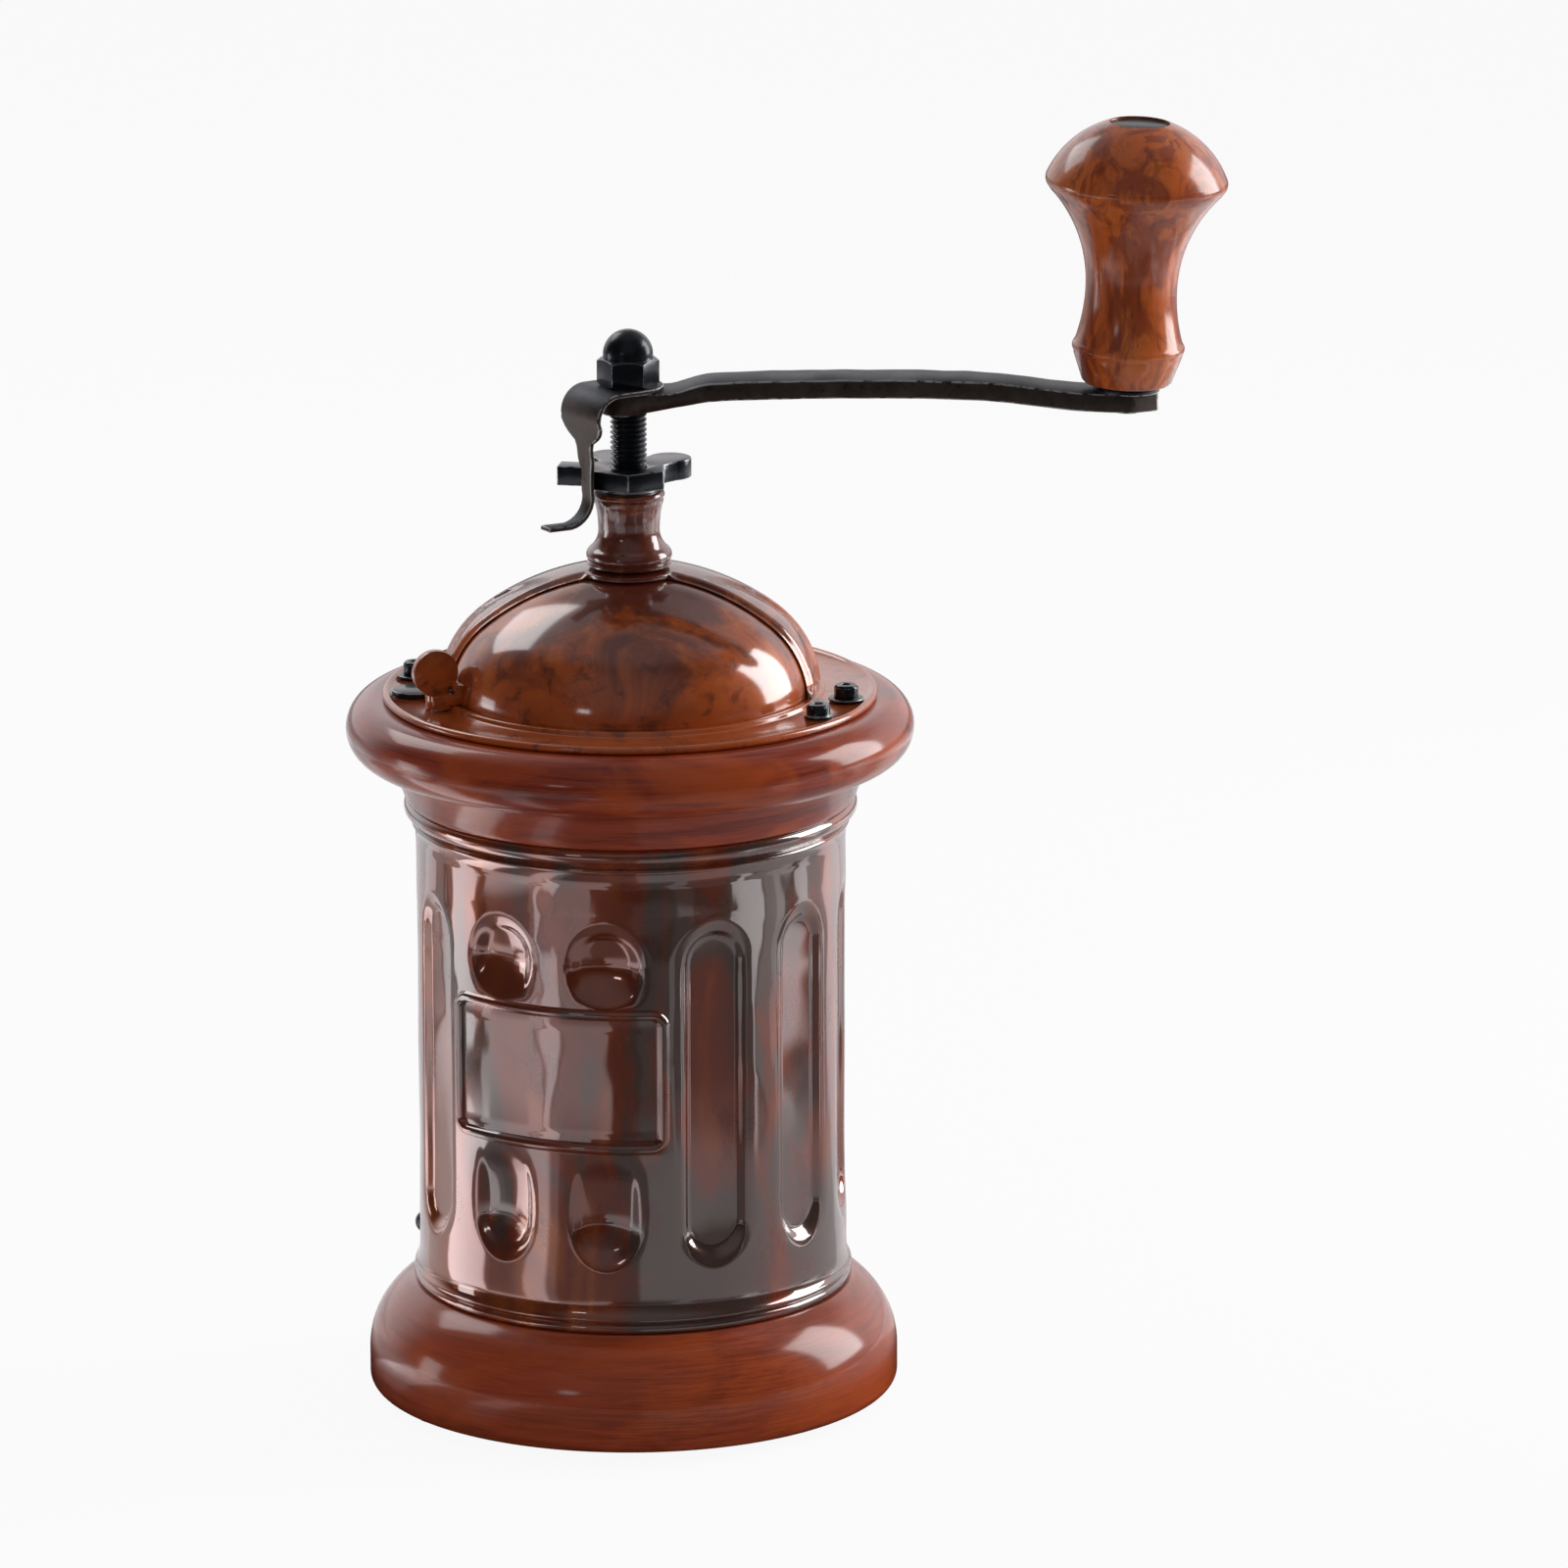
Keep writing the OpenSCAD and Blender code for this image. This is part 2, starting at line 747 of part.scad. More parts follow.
module dome_cover() {
    color(lacquer)
        difference() {
            union() {
                rotate_extrude() {
                    difference() {
                        translate([door_r + door_gap, flange_z]) square([flange_r - 1.2 - door_r, sheet_t]);
                        translate([flange_r - flange_roll_r, flange_z]) square([5, 5]);
                    }
                    intersection() {
                        translate([flange_r - flange_roll_r, collar_top + flange_roll_r - 0.05])
                            circle(flange_roll_r);
                        translate([0, collar_top]) square([big, big]);
                    }
                    translate([door_r + door_gap, flange_top - 0.1])
                        polygon([
                            [0, 0], [hem_w, 0], [hem_w, hem_h - 0.3], [hem_w - 0.4, hem_h + 0.1],
                            [0.4, hem_h + 0.1], [0, hem_h - 0.3]
                        ]);
                }
                intersection() {
                    union() {
                        dome_skin(0, dome_wall, 0.2);
                        rotate_extrude()
                            translate([dome_r - 0.1, flange_top - eps])
                                difference() {
                                    square(fillet_r);
                                    translate([fillet_r, fillet_r]) circle(fillet_r);
                                }
                    }
                    side_window();
                }
            }
            intersection() {
                dome_skin(-1, panel_depth, 0.2);
                crescents();
            }
            translate([0, 0, dome_top - dome_h / 3]) cylinder(r = pivot_r + 0.03, h = dome_h);
            flange_screw_spots(screw_angles) cylinder(d = shank_d + 0.1, h = big);
            flange_screw_spots([stop_screw_angle]) cylinder(d = shank_d + 0.1, h = big);
            flange_screw_spots([plate_angle]) cylinder(d = tab_rivet_d, h = big);
        }
}

module hopper_funnel() {
    lip_z = frame_top;
    color(plain_steel)
        rotate_extrude()
            polygon([
                [rebate_r - 0.3, flange_z - funnel_t], [rebate_r - 0.3, flange_z],
                [collar_bore_r - 1.6, flange_z], [collar_bore_r - 0.6, flange_z - funnel_t],
                [throat_r + 3, lip_z + funnel_t], [throat_r, lip_z + funnel_t], [throat_r, lip_z],
                [throat_r + 3.6, lip_z],
                [collar_bore_r - 0.3, flange_z - funnel_t - 1.2], [collar_bore_r - 0.3, flange_z - funnel_t]
            ]);
}

module frame_screw_spots() {
    for (a = frame_arm_angles)
        rotate([0, 0, a])
            translate([frame_screw_r, 0, spigot_z])
                children();
}

module mill_frame() {
    ring_r = frame_ring_r + frame_ring_t;
    low_z = burr_z - 1.5;
    color(cast_grey)
        difference() {
            union() {
                ring(ring_r, frame_ring_r - 2.5, low_z, frame_top - low_z);
                for (a = frame_arm_angles)
                    rotate([0, 0, a]) {
                        translate([frame_ring_r + 1, -frame_arm_w / 2, spigot_z - frame_t])
                            cube([frame_screw_r - frame_ring_r - 1, frame_arm_w, frame_t]);
                        translate([frame_screw_r, 0, spigot_z - frame_t])
                            intersection() {
                                cylinder(d = frame_arm_w, h = frame_t);
                                translate([-big, -big, 0])
                                    cube([big + frame_arm_r - frame_screw_r, 2 * big, big]);
                            }
                    }
            }
            translate([0, 0, burr_z]) cylinder(r = frame_ring_r, h = big);
            translate([-big, -bridge_w / 2 - 0.05, frame_top - bridge_t]) cube([2 * big, bridge_w + 0.1, 10]);
            frame_screw_spots() translate([0, 0, -big / 2]) cylinder(d = frame_screw_d + 0.2, h = big);
        }
}

module frame_screws() {
    color(plain_steel)
        frame_screw_spots() {
            translate([0, 0, -frame_t]) cylinder(d = frame_screw_d - 0.02, h = frame_t + frame_screw_len);
            translate([0, 0, -frame_t - frame_head_h]) cylinder(d = frame_head_d, h = frame_head_h);
        }
}

module outer_burr() {
    top_r = crest_low_r + burr_gap + 1.6;
    groove = 1.5;
    color(cast_grey)
        difference() {
            translate([0, 0, burr_z]) cylinder(r = frame_ring_r - 0.02, h = burr_h);
            translate([0, 0, burr_z - eps])
                cylinder(r1 = crest_low_r + burr_gap, r2 = top_r, h = burr_h + 2 * eps);
            for (i = [0 : outer_teeth - 1])
                rotate([0, 0, i * 360 / outer_teeth])
                    translate([crest_low_r + burr_gap + 0.7, 0, burr_z + burr_h / 2])
                        rotate([28, 0, 0])
                            rotate([0, 0, 45])
                                cube([groove, groove, 2 * burr_h], center = true);
        }
}

module bearing_bridge() {
    span = 2 * (frame_ring_r + frame_ring_t);
    color(cast_grey)
        difference() {
            union() {
                intersection() {
                    translate([-span / 2, -bridge_w / 2, frame_top - bridge_t])
                        cube([span, bridge_w, bridge_t]);
                    cylinder(d = span, h = big);
                }
                translate([0, 0, frame_top - bridge_t]) cylinder(r = bridge_boss_r, h = bridge_boss_h);
            }
            cylinder(r = shaft_r + running_gap, h = big);
        }
}

module neck() {
    waist_z = neck_z + neck_h * 0.48;
    bulge_z = neck_z + neck_foot_h + bulge_round - 0.4;
    top_r = neck_top_d / 2;
    waist_r = neck_waist_d / 2;
    bulge_r = neck_bulge_d / 2;
    up_h = neck_top - neck_rim_h - waist_z;
    up_in = top_r - 0.4 - waist_r;
    up_r = (up_in * up_in + up_h * up_h) / (2 * up_in);
    down_h = waist_z - bulge_z - bulge_round * 0.6;
    down_in = bulge_r - 0.5 - waist_r;
    down_r = (down_in * down_in + down_h * down_h) / (2 * down_in);
    color(lacquer)
        rotate_extrude()
            difference() {
                union() {
                    translate([0, neck_z]) square([neck_foot_r, neck_foot_h]);
                    translate([bulge_r - bulge_round, bulge_z]) circle(bulge_round);
                    translate([0, neck_z]) square([bulge_r - bulge_round, bulge_z - neck_z + bulge_round]);
                    difference() {
                        translate([0, bulge_z]) square([bulge_r - 0.5, neck_top - neck_rim_h - bulge_z]);
                        translate([waist_r + down_r, waist_z])
                            intersection() {
                                circle(down_r);
                                translate([-big, -down_h]) square([2 * big, down_h]);
                            }
                        translate([waist_r + up_r, waist_z])
                            intersection() {
                                circle(up_r);
                                translate([-big, 0]) square([2 * big, up_h]);
                            }
                        translate([top_r - 0.4, waist_z]) square([big, up_h + 1]);
                    }
                    translate([0, neck_top - neck_rim_h]) square([top_r - 0.8, neck_rim_h]);
                    translate([top_r - 0.8, neck_top - 0.8]) circle(0.8);
                    translate([top_r - 0.8, neck_top - neck_rim_h + 0.8]) circle(0.8);
                    translate([0, neck_top - neck_rim_h + 0.8]) square([top_r, neck_rim_h - 1.6]);
                    translate([0, pivot_low]) square([pivot_r, neck_z - pivot_low + 1]);
                    translate([0, pivot_low - neck_nut_h]) square([neck_thread_r, neck_nut_h + 1]);
                }
                translate([-big, -big]) square([big + bore_r, 2 * big]);
            }
}

module neck_nut() {
    color(plain_steel)
        translate([0, 0, pivot_low - neck_nut_h])
            difference() {
                hexagon(2 * neck_nut_r * cos(30), neck_nut_h);
                translate([0, 0, -1]) cylinder(r = neck_thread_r + 0.02, h = big);
            }
}

module thrust_washer() {
    color(plain_steel)
        ring(thrust_r, bore_r + 0.1, neck_top, thrust_t);
}

// Round screw head with a socket, its underside at zero
module screw_head() {
    difference() {
        union() {
            cylinder(d = screw_head_d, h = screw_head_h - 0.6);
            translate([0, 0, screw_head_h - 0.6])
                cylinder(d1 = screw_head_d, d2 = screw_head_d - 1, h = 0.6);
        }
        translate([0, 0, screw_head_h - 1]) cylinder(d = screw_head_d * 0.45, h = 2, $fn = 6);
    }
}

module flange_screws() {
    color(black_steel)
        flange_screw_spots(screw_angles) {
            translate([0, 0, flange_top + washer_t]) screw_head();
            translate([0, 0, shank_z])
                cylinder(d = shank_d - 0.02, h = flange_top + washer_t + 0.5 - shank_z);
        }
}

module screw_washers() {
    color(black_steel)
        flange_screw_spots(screw_angles)
            translate([0, 0, flange_top])
                difference() {
                    union() {
                        cylinder(d1 = washer_d - 0.8, d2 = washer_d, h = washer_t * 0.6);
                        translate([0, 0, washer_t * 0.6]) cylinder(d = washer_d, h = washer_t * 0.4);
                    }
                    translate([0, 0, -1]) cylinder(d = shank_d + 0.1, h = big);
                }
}

module stop_screw() {
    color(black_steel)
        flange_screw_spots([stop_screw_angle]) {
            translate([0, 0, flange_top]) {
                cylinder(d = screw_head_d + 0.9, h = 0.9);
                translate([0, 0, 0.4]) screw_head();
            }
            translate([0, 0, shank_z]) cylinder(d = shank_d - 0.02, h = flange_top + 0.3 - shank_z);
        }
}

module stop_plate() {
    half = plate_w / 2;
    color(black_steel)
        rotate([0, 0, plate_angle]) {
            translate([plate_inner, 0, flange_top])
                intersection() {
                    union() {
                        translate([0, -half, 0]) cube([plate_outer - plate_inner - half, plate_w, plate_t]);
                        translate([plate_outer - plate_inner - half, 0, 0]) cylinder(r = half, h = plate_t);
                    }
                    translate([0, -half, 0]) cube([big, plate_w, plate_t]);
                }
            translate([screw_pitch_r, 0, collar_top + 0.2 - plate_pin_len])
                cylinder(d = tab_rivet_d - 0.02, h = flange_top + 0.3 - collar_top + plate_pin_len);
        }
}

module door_window() {
    translate([-big, -dome_front + door_lap - big, 0]) cube([2 * big, big, big]);
    cylinder(r = door_hub_r, h = big);
}

module door() {
    color(lacquer)
        difference() {
            intersection() {
                dome_skin(door_out, door_in, flange_top - door_low);
                door_window();
            }
            translate([0, 0, dome_top - 20]) cylinder(r = pivot_r + running_gap, h = 40);
            rivet_place() translate([0, 0, -4]) cylinder(d = tab_rivet_d, h = 8);
        }
}

// Axis of the tab's rivet, radial, at the door's wall
module rivet_place() {
    rotate([0, 0, tab_angle])
        translate([door_r, tab_shift, tab_foot_z + tab_foot_h / 2 + 1.2])
            rotate([0, 90, 0])
                children();
}

module door_tab() {
    wall_z = tab_foot_z + tab_foot_h + 2.4;
    color(lacquer)
        difference() {
            rotate([0, 0, tab_angle]) {
                translate([door_r - 3, tab_shift - tab_foot_w / 2, tab_foot_z])
                    cube([tab_r + 2.6 - door_r + 3, tab_foot_w, tab_foot_h]);
                translate([door_r - 3, tab_shift - tab_foot_w / 2, tab_foot_z])
                    cube([4.2, tab_foot_w, wall_z - tab_foot_z]);
                translate([tab_r, tab_shift, tab_floor])
                    difference() {
                        cylinder(d = tab_foot_w, h = tab_foot_z + tab_foot_h - tab_floor);
                        translate([-tab_r, -tab_shift, -1])
                            cylinder(r = hem_r + 0.3, h = 1 + tab_foot_z - tab_floor);
                    }
                translate([tab_r - tab_neck_w / 2, -tab_t / 2, tab_foot_z])
                    cube([tab_neck_w, tab_t, tab_plate_z - tab_foot_z]);
                translate([tab_r + 0.4, tab_t / 2, tab_plate_z])
                    rotate([90, 0, 0])
                        cylinder(d = tab_d, h = tab_t);
            }
            rotate_extrude() dome_area(door_out - 0.01, 5);
            rivet_place() translate([0, 0, -4]) cylinder(d = tab_rivet_d, h = 4.6 + 1);
        }
}

module tab_rivet() {
    color(plain_steel)
        difference() {
            rivet_place() {
                translate([0, 0, -3.4]) cylinder(d = tab_rivet_d - 0.02, h = 4.6);
                translate([0, 0, -3.4]) cylinder(d = tab_rivet_d + 2, h = 1);
            }
            ring(big, door_r - door_wall, 0, eps);
        }
}

module spindle() {
    color(black_steel)
        difference() {
            union() {
                translate([0, 0, spindle_low]) cylinder(r = shaft_r, h = spindle_top - spindle_low - 1);
                translate([0, 0, spindle_top - 1]) cylinder(r1 = shaft_r, r2 = shaft_r - 0.8, h = 1);
                translate([0, 0, spindle_thread_low])
                    cylinder(r = spindle_r, h = shoulder_z - spindle_thread_low);
            }
            for (s = [-1, 1])
                translate([s * (flat_af / 2 + big / 2), 0, arm_z + (clip_top - arm_z) / 2])
                    cube([big, big, clip_top - arm_z + 0.02], center = true);
        }
}

// Drive hole with two flats, a little larger than the spindle's top
module drive_hole(z0, h) {
    translate([0, 0, z0])
        intersection() {
            cylinder(r = shaft_r + square_gap, h = h);
            translate([-flat_af / 2 - square_gap, -big / 2, 0]) cube([flat_af + 2 * square_gap, big, h]);
        }
}

module inner_burr() {
    groove = 3.6;
    slope = atan2(crest_low_r - crest_high_r, inner_h);
    color(cast_grey)
        difference() {
            union() {
                translate([0, 0, inner_z]) cylinder(r1 = crest_low_r, r2 = crest_high_r, h = inner_h);
                translate([0, 0, inner_z - inner_skirt])
                    cylinder(r1 = crest_low_r - 2.2, r2 = crest_low_r, h = inner_skirt);
            }
            for (i = [0 : inner_teeth - 1])
                rotate([0, 0, i * 360 / inner_teeth])
                    translate([(crest_low_r + crest_high_r) / 2 + 0.7, 0, inner_z + inner_h / 2])
                        rotate([24, 0, 0])
                            rotate([0, -slope, 0])
                                rotate([0, 0, 45])
                                    cube([groove, groove, 3 * inner_h], center = true);
            translate([0, 0, spindle_low - 1]) cylinder(r = shaft_r + 0.01, h = 60);
        }
}

module burr_nut() {
    color(plain_steel)
        difference() {
            translate([0, 0, inner_z - inner_skirt - burr_nut_h]) hexagon(nut_hex_af, burr_nut_h);
            translate([0, 0, spindle_low - 1]) cylinder(r = shaft_r + 0.01, h = 30);
        }
}

module crank_arm() {
    top = arm_line();
    under = [for (i = [len(top) - 1 : -1 : 0]) [top[i][0], top[i][1] - arm_depth(top[i][0])]];
    tip_x = crank_r + arm_tip;
    color(forged)
        difference() {
            intersection() {
                rotate([90, 0, 0])
                    translate([0, 0, -arm_hub_r])
                        linear_extrude(2 * arm_hub_r)
                            polygon(concat([[-20, arm_top]], top, under, [[-20, arm_z]]));
                linear_extrude(big) {
                    circle(arm_hub_r);
                    polygon([
                        [0, -arm_w / 2], [tip_x - tip_chamfer_x, -arm_w / 2],
                        [tip_x, -arm_w / 2 + tip_chamfer_y], [tip_x, arm_w / 2 - tip_chamfer_y],
                        [tip_x - tip_chamfer_x, arm_w / 2], [0, arm_w / 2]
                    ]);
                }
            }
            drive_hole(arm_z - 1, arm_hub_t + 2);
            knob_frame() translate([0, 0, -20]) cylinder(r = pin_r, h = 40);
        }
}

// The clip's line seen from its side: plate, bend, leg and curled tail, on its outer face
function clip_line() = concat(
    [[-clip_w / 2 - 2, clip_top]],
    arc(clip_out - clip_bend_r, clip_top - clip_bend_r, clip_bend_r, 90, 0, 10),
    [
        [clip_out - 0.5, clip_top - clip_bend_r - 3],
        [leg_in + clip_t + 0.6, nut_top + 5],
        [leg_in + clip_t, nut_top],
        [leg_in + clip_t, nut_z]
    ],
    arc(leg_in + clip_t + tail_round, leg_low_z + tail_round, tail_round + 0.2, 180, 262, 8),
    [[tail_reach, leg_low_z]]
);

module lock_clip() {
    plate_r = clip_w / 2;
    shoulder = clip_top - clip_bend_r - 1.6;
    neck_z_clip = shoulder - 5;
    color(forged)
        difference() {
            rotate([0, 0, clip_angle])
                intersection() {
                    rotate([90, 0, 0])
                        translate([0, 0, -plate_r])
                            linear_extrude(clip_w)
                                polygon(ribbon(clip_line(), -clip_t));
                    rotate([90, 0, 90])
                        translate([0, 0, -big / 2])
                            linear_extrude(big)
                                polygon([
                                    [-plate_r, big], [-plate_r, shoulder],
                                    [-leg_w / 2 - 0.4, neck_z_clip + 0.4], [-leg_w / 2, neck_z_clip - 1],
                                    [-leg_w / 2, 0],
                                    [leg_w / 2, 0], [leg_w / 2, neck_z_clip - 1],
                                    [leg_w / 2 + 0.4, neck_z_clip + 0.4], [plate_r, shoulder], [plate_r, big]
                                ]);
                    union() {
                        cylinder(r = plate_r, h = big);
                        translate([0, -plate_r, 0]) cube([big, clip_w, big]);
                    }
                }
            drive_hole(arm_top - 1, clip_t + 2);
        }
}

module cap_nut() {
    color(black_steel)
        translate([0, 0, clip_top])
            difference() {
                union() {
                    intersection() {
                        hexagon(cap_af, cap_hex_h);
                        union() {
                            cylinder(r1 = cap_corner - cap_chamfer, r2 = cap_corner, h = cap_chamfer_h);
                            translate([0, 0, cap_chamfer_h])
                                cylinder(r = cap_corner, h = cap_hex_h - 2 * cap_chamfer_h);
                            translate([0, 0, cap_hex_h - cap_chamfer_h])
                                cylinder(r1 = cap_corner, r2 = cap_corner - cap_chamfer, h = cap_chamfer_h);
                        }
                    }
                    rotate_extrude()
                        intersection() {
                            union() {
                                translate([0, cap_hex_h - 1]) square([cap_r, cap_cyl_h + 1]);
                                translate([0, cap_hex_h + cap_cyl_h]) circle(cap_r);
                            }
                            translate([0, 1]) square([big, big]);
                        }
                }
                translate([0, 0, -1]) cylinder(r = shaft_r + 0.01, h = cap_hex_h + 5);
            }
}

module adjusting_nut() {
    color(black_steel)
        translate([0, 0, nut_z])
            linear_extrude(nut_t)
                difference() {
                    union() {
                        rotate(30) circle(r = nut_af / 2 / cos(30), $fn = 6);
                        for (a = finger_angles)
                            rotate(a) {
                                translate([finger_reach - finger_r, 0]) circle(finger_r);
                                translate([0, -finger_w / 2]) square([finger_reach - finger_r, finger_w]);
                            }
                        rotate(lug_angle) translate([0, -lug_w / 2]) square([lug_reach, lug_w]);
                    }
                    circle(bore_r);
                }
}

// The knob's own frame: its foot rests on the washer, its axis leans outwards
module knob_frame() {
    translate([crank_r, 0, knob_seat])
        rotate([0, knob_lean, 0])
            children();
}

module knob_pin() {
    color(plain_steel)
        knob_frame() {
            translate([0, 0, -arm_t]) cylinder(r = pin_r - 0.01, h = arm_t + knob_washer_t + pin_head_z);
            translate([0, 0, knob_washer_t + pin_head_z]) cylinder(r = pin_head_r, h = pin_head_h);
            translate([0, 0, -arm_t - rivet_h]) cylinder(r1 = rivet_r - 1, r2 = rivet_r, h = rivet_h);
        }
}

module knob_washer() {
    color(black_steel)
        knob_frame() ring(8, pin_r + 0.02, 0.02, knob_washer_t - 0.02);
}

module knob_profile() {
    low_r = knob_foot_d / 2;
    bead_r = bead_d / 2;
    waist_r = waist_d / 2;
    low_h = waist_h - bead_h - bead_round;
    low_in = bead_r - 0.7 - waist_r;
    low_arc = (low_in * low_in + low_h * low_h) / (2 * low_in);
    up_h = cap_edge_h - waist_h;
    up_in = neck_edge_r - waist_r;
    up_arc = (up_in * up_in + up_h * up_h) / (2 * up_in);
    meet_h = cap_dome_h + cap_dome_r * sin(cap_meet);
    difference() {
        union() {
            polygon([
                [0, 0], [low_r - 0.6, 0], [low_r, 0.6], [bead_r - 0.3, bead_h - bead_round], [0, bead_h]
            ]);
            translate([bead_r - bead_round, bead_h]) circle(bead_round);
            difference() {
                translate([0, bead_h]) square([neck_edge_r, cap_edge_h - bead_h]);
                translate([waist_r + low_arc, waist_h])
                    intersection() {
                        circle(low_arc);
                        translate([-big, -low_h - 4]) square([2 * big, low_h + 4]);
                    }
                translate([bead_r - 0.7, 0]) square([big, waist_h]);
                translate([waist_r + up_arc, waist_h])
                    intersection() {
                        circle(up_arc);
                        translate([-big, 0]) square([2 * big, up_h]);
                    }
            }
            translate([cap_rim_c, cap_rim_h]) circle(cap_rim_r);
            translate([0, cap_edge_h]) square([cap_rim_c, cap_rim_r]);
            translate([0, cap_rim_h]) square([knob_d / 2 - 0.3, meet_h - cap_rim_h]);
            intersection() {
                translate([0, cap_dome_h]) circle(cap_dome_r);
                translate([0, meet_h]) square([big, knob_h - meet_h]);
            }
        }
        translate([-big, -big]) square([big + pin_r + running_gap, 2 * big]);
        translate([0, pin_head_z - 0.3]) square([pin_well_r, big]);
        translate([0, knob_h - plug_h_knob - 0.4]) square([plug_d / 2 + plug_clear, big]);
    }
}

module knob() {
    color(wood_knob)
        knob_frame()
            translate([0, 0, knob_washer_t])
                rotate_extrude() knob_profile();
}

module knob_plug() {
    color(black_steel)
        knob_frame()
            translate([0, 0, knob_washer_t + knob_h - plug_h_knob - 0.4])
                cylinder(d = plug_d, h = plug_h_knob);
}

base();
base_pads();
canister();
canister_screws();
collar();
dome_cover();
hopper_funnel();
mill_frame();
frame_screws();
outer_burr();
bearing_bridge();
neck();
neck_nut();
thrust_washer();
flange_screws();
screw_washers();
stop_screw();
stop_plate();
door();
door_tab();
tab_rivet();
spindle();
inner_burr();
burr_nut();
crank_arm();
lock_clip();
cap_nut();
knob_pin();
knob_washer();
adjusting_nut();
knob();
knob_plug();
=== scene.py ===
"""Looks of a manual coffee grinder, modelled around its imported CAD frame."""

import json
import math

import bmesh
import bpy
from mathutils import Matrix, Vector, noise


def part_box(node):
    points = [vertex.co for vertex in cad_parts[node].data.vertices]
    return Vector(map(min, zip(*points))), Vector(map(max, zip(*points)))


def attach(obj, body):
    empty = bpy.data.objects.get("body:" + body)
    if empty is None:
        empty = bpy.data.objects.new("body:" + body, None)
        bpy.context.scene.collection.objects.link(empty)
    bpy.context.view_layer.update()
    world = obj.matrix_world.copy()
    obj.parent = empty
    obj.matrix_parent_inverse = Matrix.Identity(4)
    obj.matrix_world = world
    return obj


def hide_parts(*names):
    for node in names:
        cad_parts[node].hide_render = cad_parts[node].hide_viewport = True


bl_info = {
    "name": "Coffee Grinder",
    "version": (1, 0, 0),
    "blender": (4, 5, 0),
    "location": "View3D > Sidebar > Grinder",
    "description": "Models and finishes the pieces of a manual coffee grinder",
    "category": "Add Mesh",
}

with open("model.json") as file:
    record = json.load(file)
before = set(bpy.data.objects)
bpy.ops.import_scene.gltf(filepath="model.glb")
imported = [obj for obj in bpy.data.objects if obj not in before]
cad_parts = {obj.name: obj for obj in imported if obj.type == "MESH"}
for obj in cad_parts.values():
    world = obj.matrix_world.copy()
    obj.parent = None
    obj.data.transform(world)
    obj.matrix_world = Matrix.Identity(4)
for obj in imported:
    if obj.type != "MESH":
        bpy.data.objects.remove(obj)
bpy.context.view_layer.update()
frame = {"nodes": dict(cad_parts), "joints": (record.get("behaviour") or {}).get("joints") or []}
MM = 0.001
MERGE = 0.002 * MM
CRISP = math.radians(35)


def low(node):
    """A CAD node's lowest corner in millimetres."""
    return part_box(node)[0] / MM


def high(node):
    """A CAD node's highest corner in millimetres."""
    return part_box(node)[1] / MM


# Heights and radii that the CAD frame gives, in millimetres
WOOD_LOW = low("base").z
PLUG_TOP = high("base").z
BASE_R = high("base").x
LEDGE = low("canister").z
SEAT = high("canister").z
SPIGOT_LOW = low("collar").z
COLLAR_TOP = high("collar").z
COLLAR_R = high("collar").x
FLANGE_R = high("dome_cover").x
FLANGE_TOP = low("screw_washers").z
NECK_LOW = low("neck").z
NECK_TOP = high("neck").z
NUT_TOP = high("adjusting_nut").z
ARM_LOW = low("lock_clip").z
CAP_LOW = low("cap_nut").z


class GrinderSizes(bpy.types.PropertyGroup):
    """Sizes of the visible shapes that the CAD frame doesn't give."""

    can_radius: bpy.props.FloatProperty(
        name="Canister radius", description="Radius of the canister's wall",
        default=0.0518, unit="LENGTH")
    wall: bpy.props.FloatProperty(
        name="Sheet", description="Thickness of the pressed sheet", default=0.0008, unit="LENGTH")
    flute_count: bpy.props.IntProperty(
        name="Flutes", description="Number of flutes round the canister", default=12)
    flute_press: bpy.props.FloatProperty(
        name="Flute depth", description="Depth of a flute at its middle", default=0.0026, unit="LENGTH")
    plaque_angle: bpy.props.FloatProperty(
        name="Plaque angle", description="Direction the plaque faces",
        default=math.radians(-111.5), subtype="ANGLE")
    dome_radius: bpy.props.FloatProperty(
        name="Dome radius", description="Radius of the fixed half-dome at the flange",
        default=0.046, unit="LENGTH")
    dome_height: bpy.props.FloatProperty(
        name="Dome height", description="Height of the dome above the flange",
        default=0.0312, unit="LENGTH")
    thread_pitch: bpy.props.FloatProperty(
        name="Thread pitch", description="Pitch of the spindle's thread", default=0.00125, unit="LENGTH")
    edge: bpy.props.FloatProperty(
        name="Edge", description="Width of the rounding on small steel pieces",
        default=0.00018, unit="LENGTH")


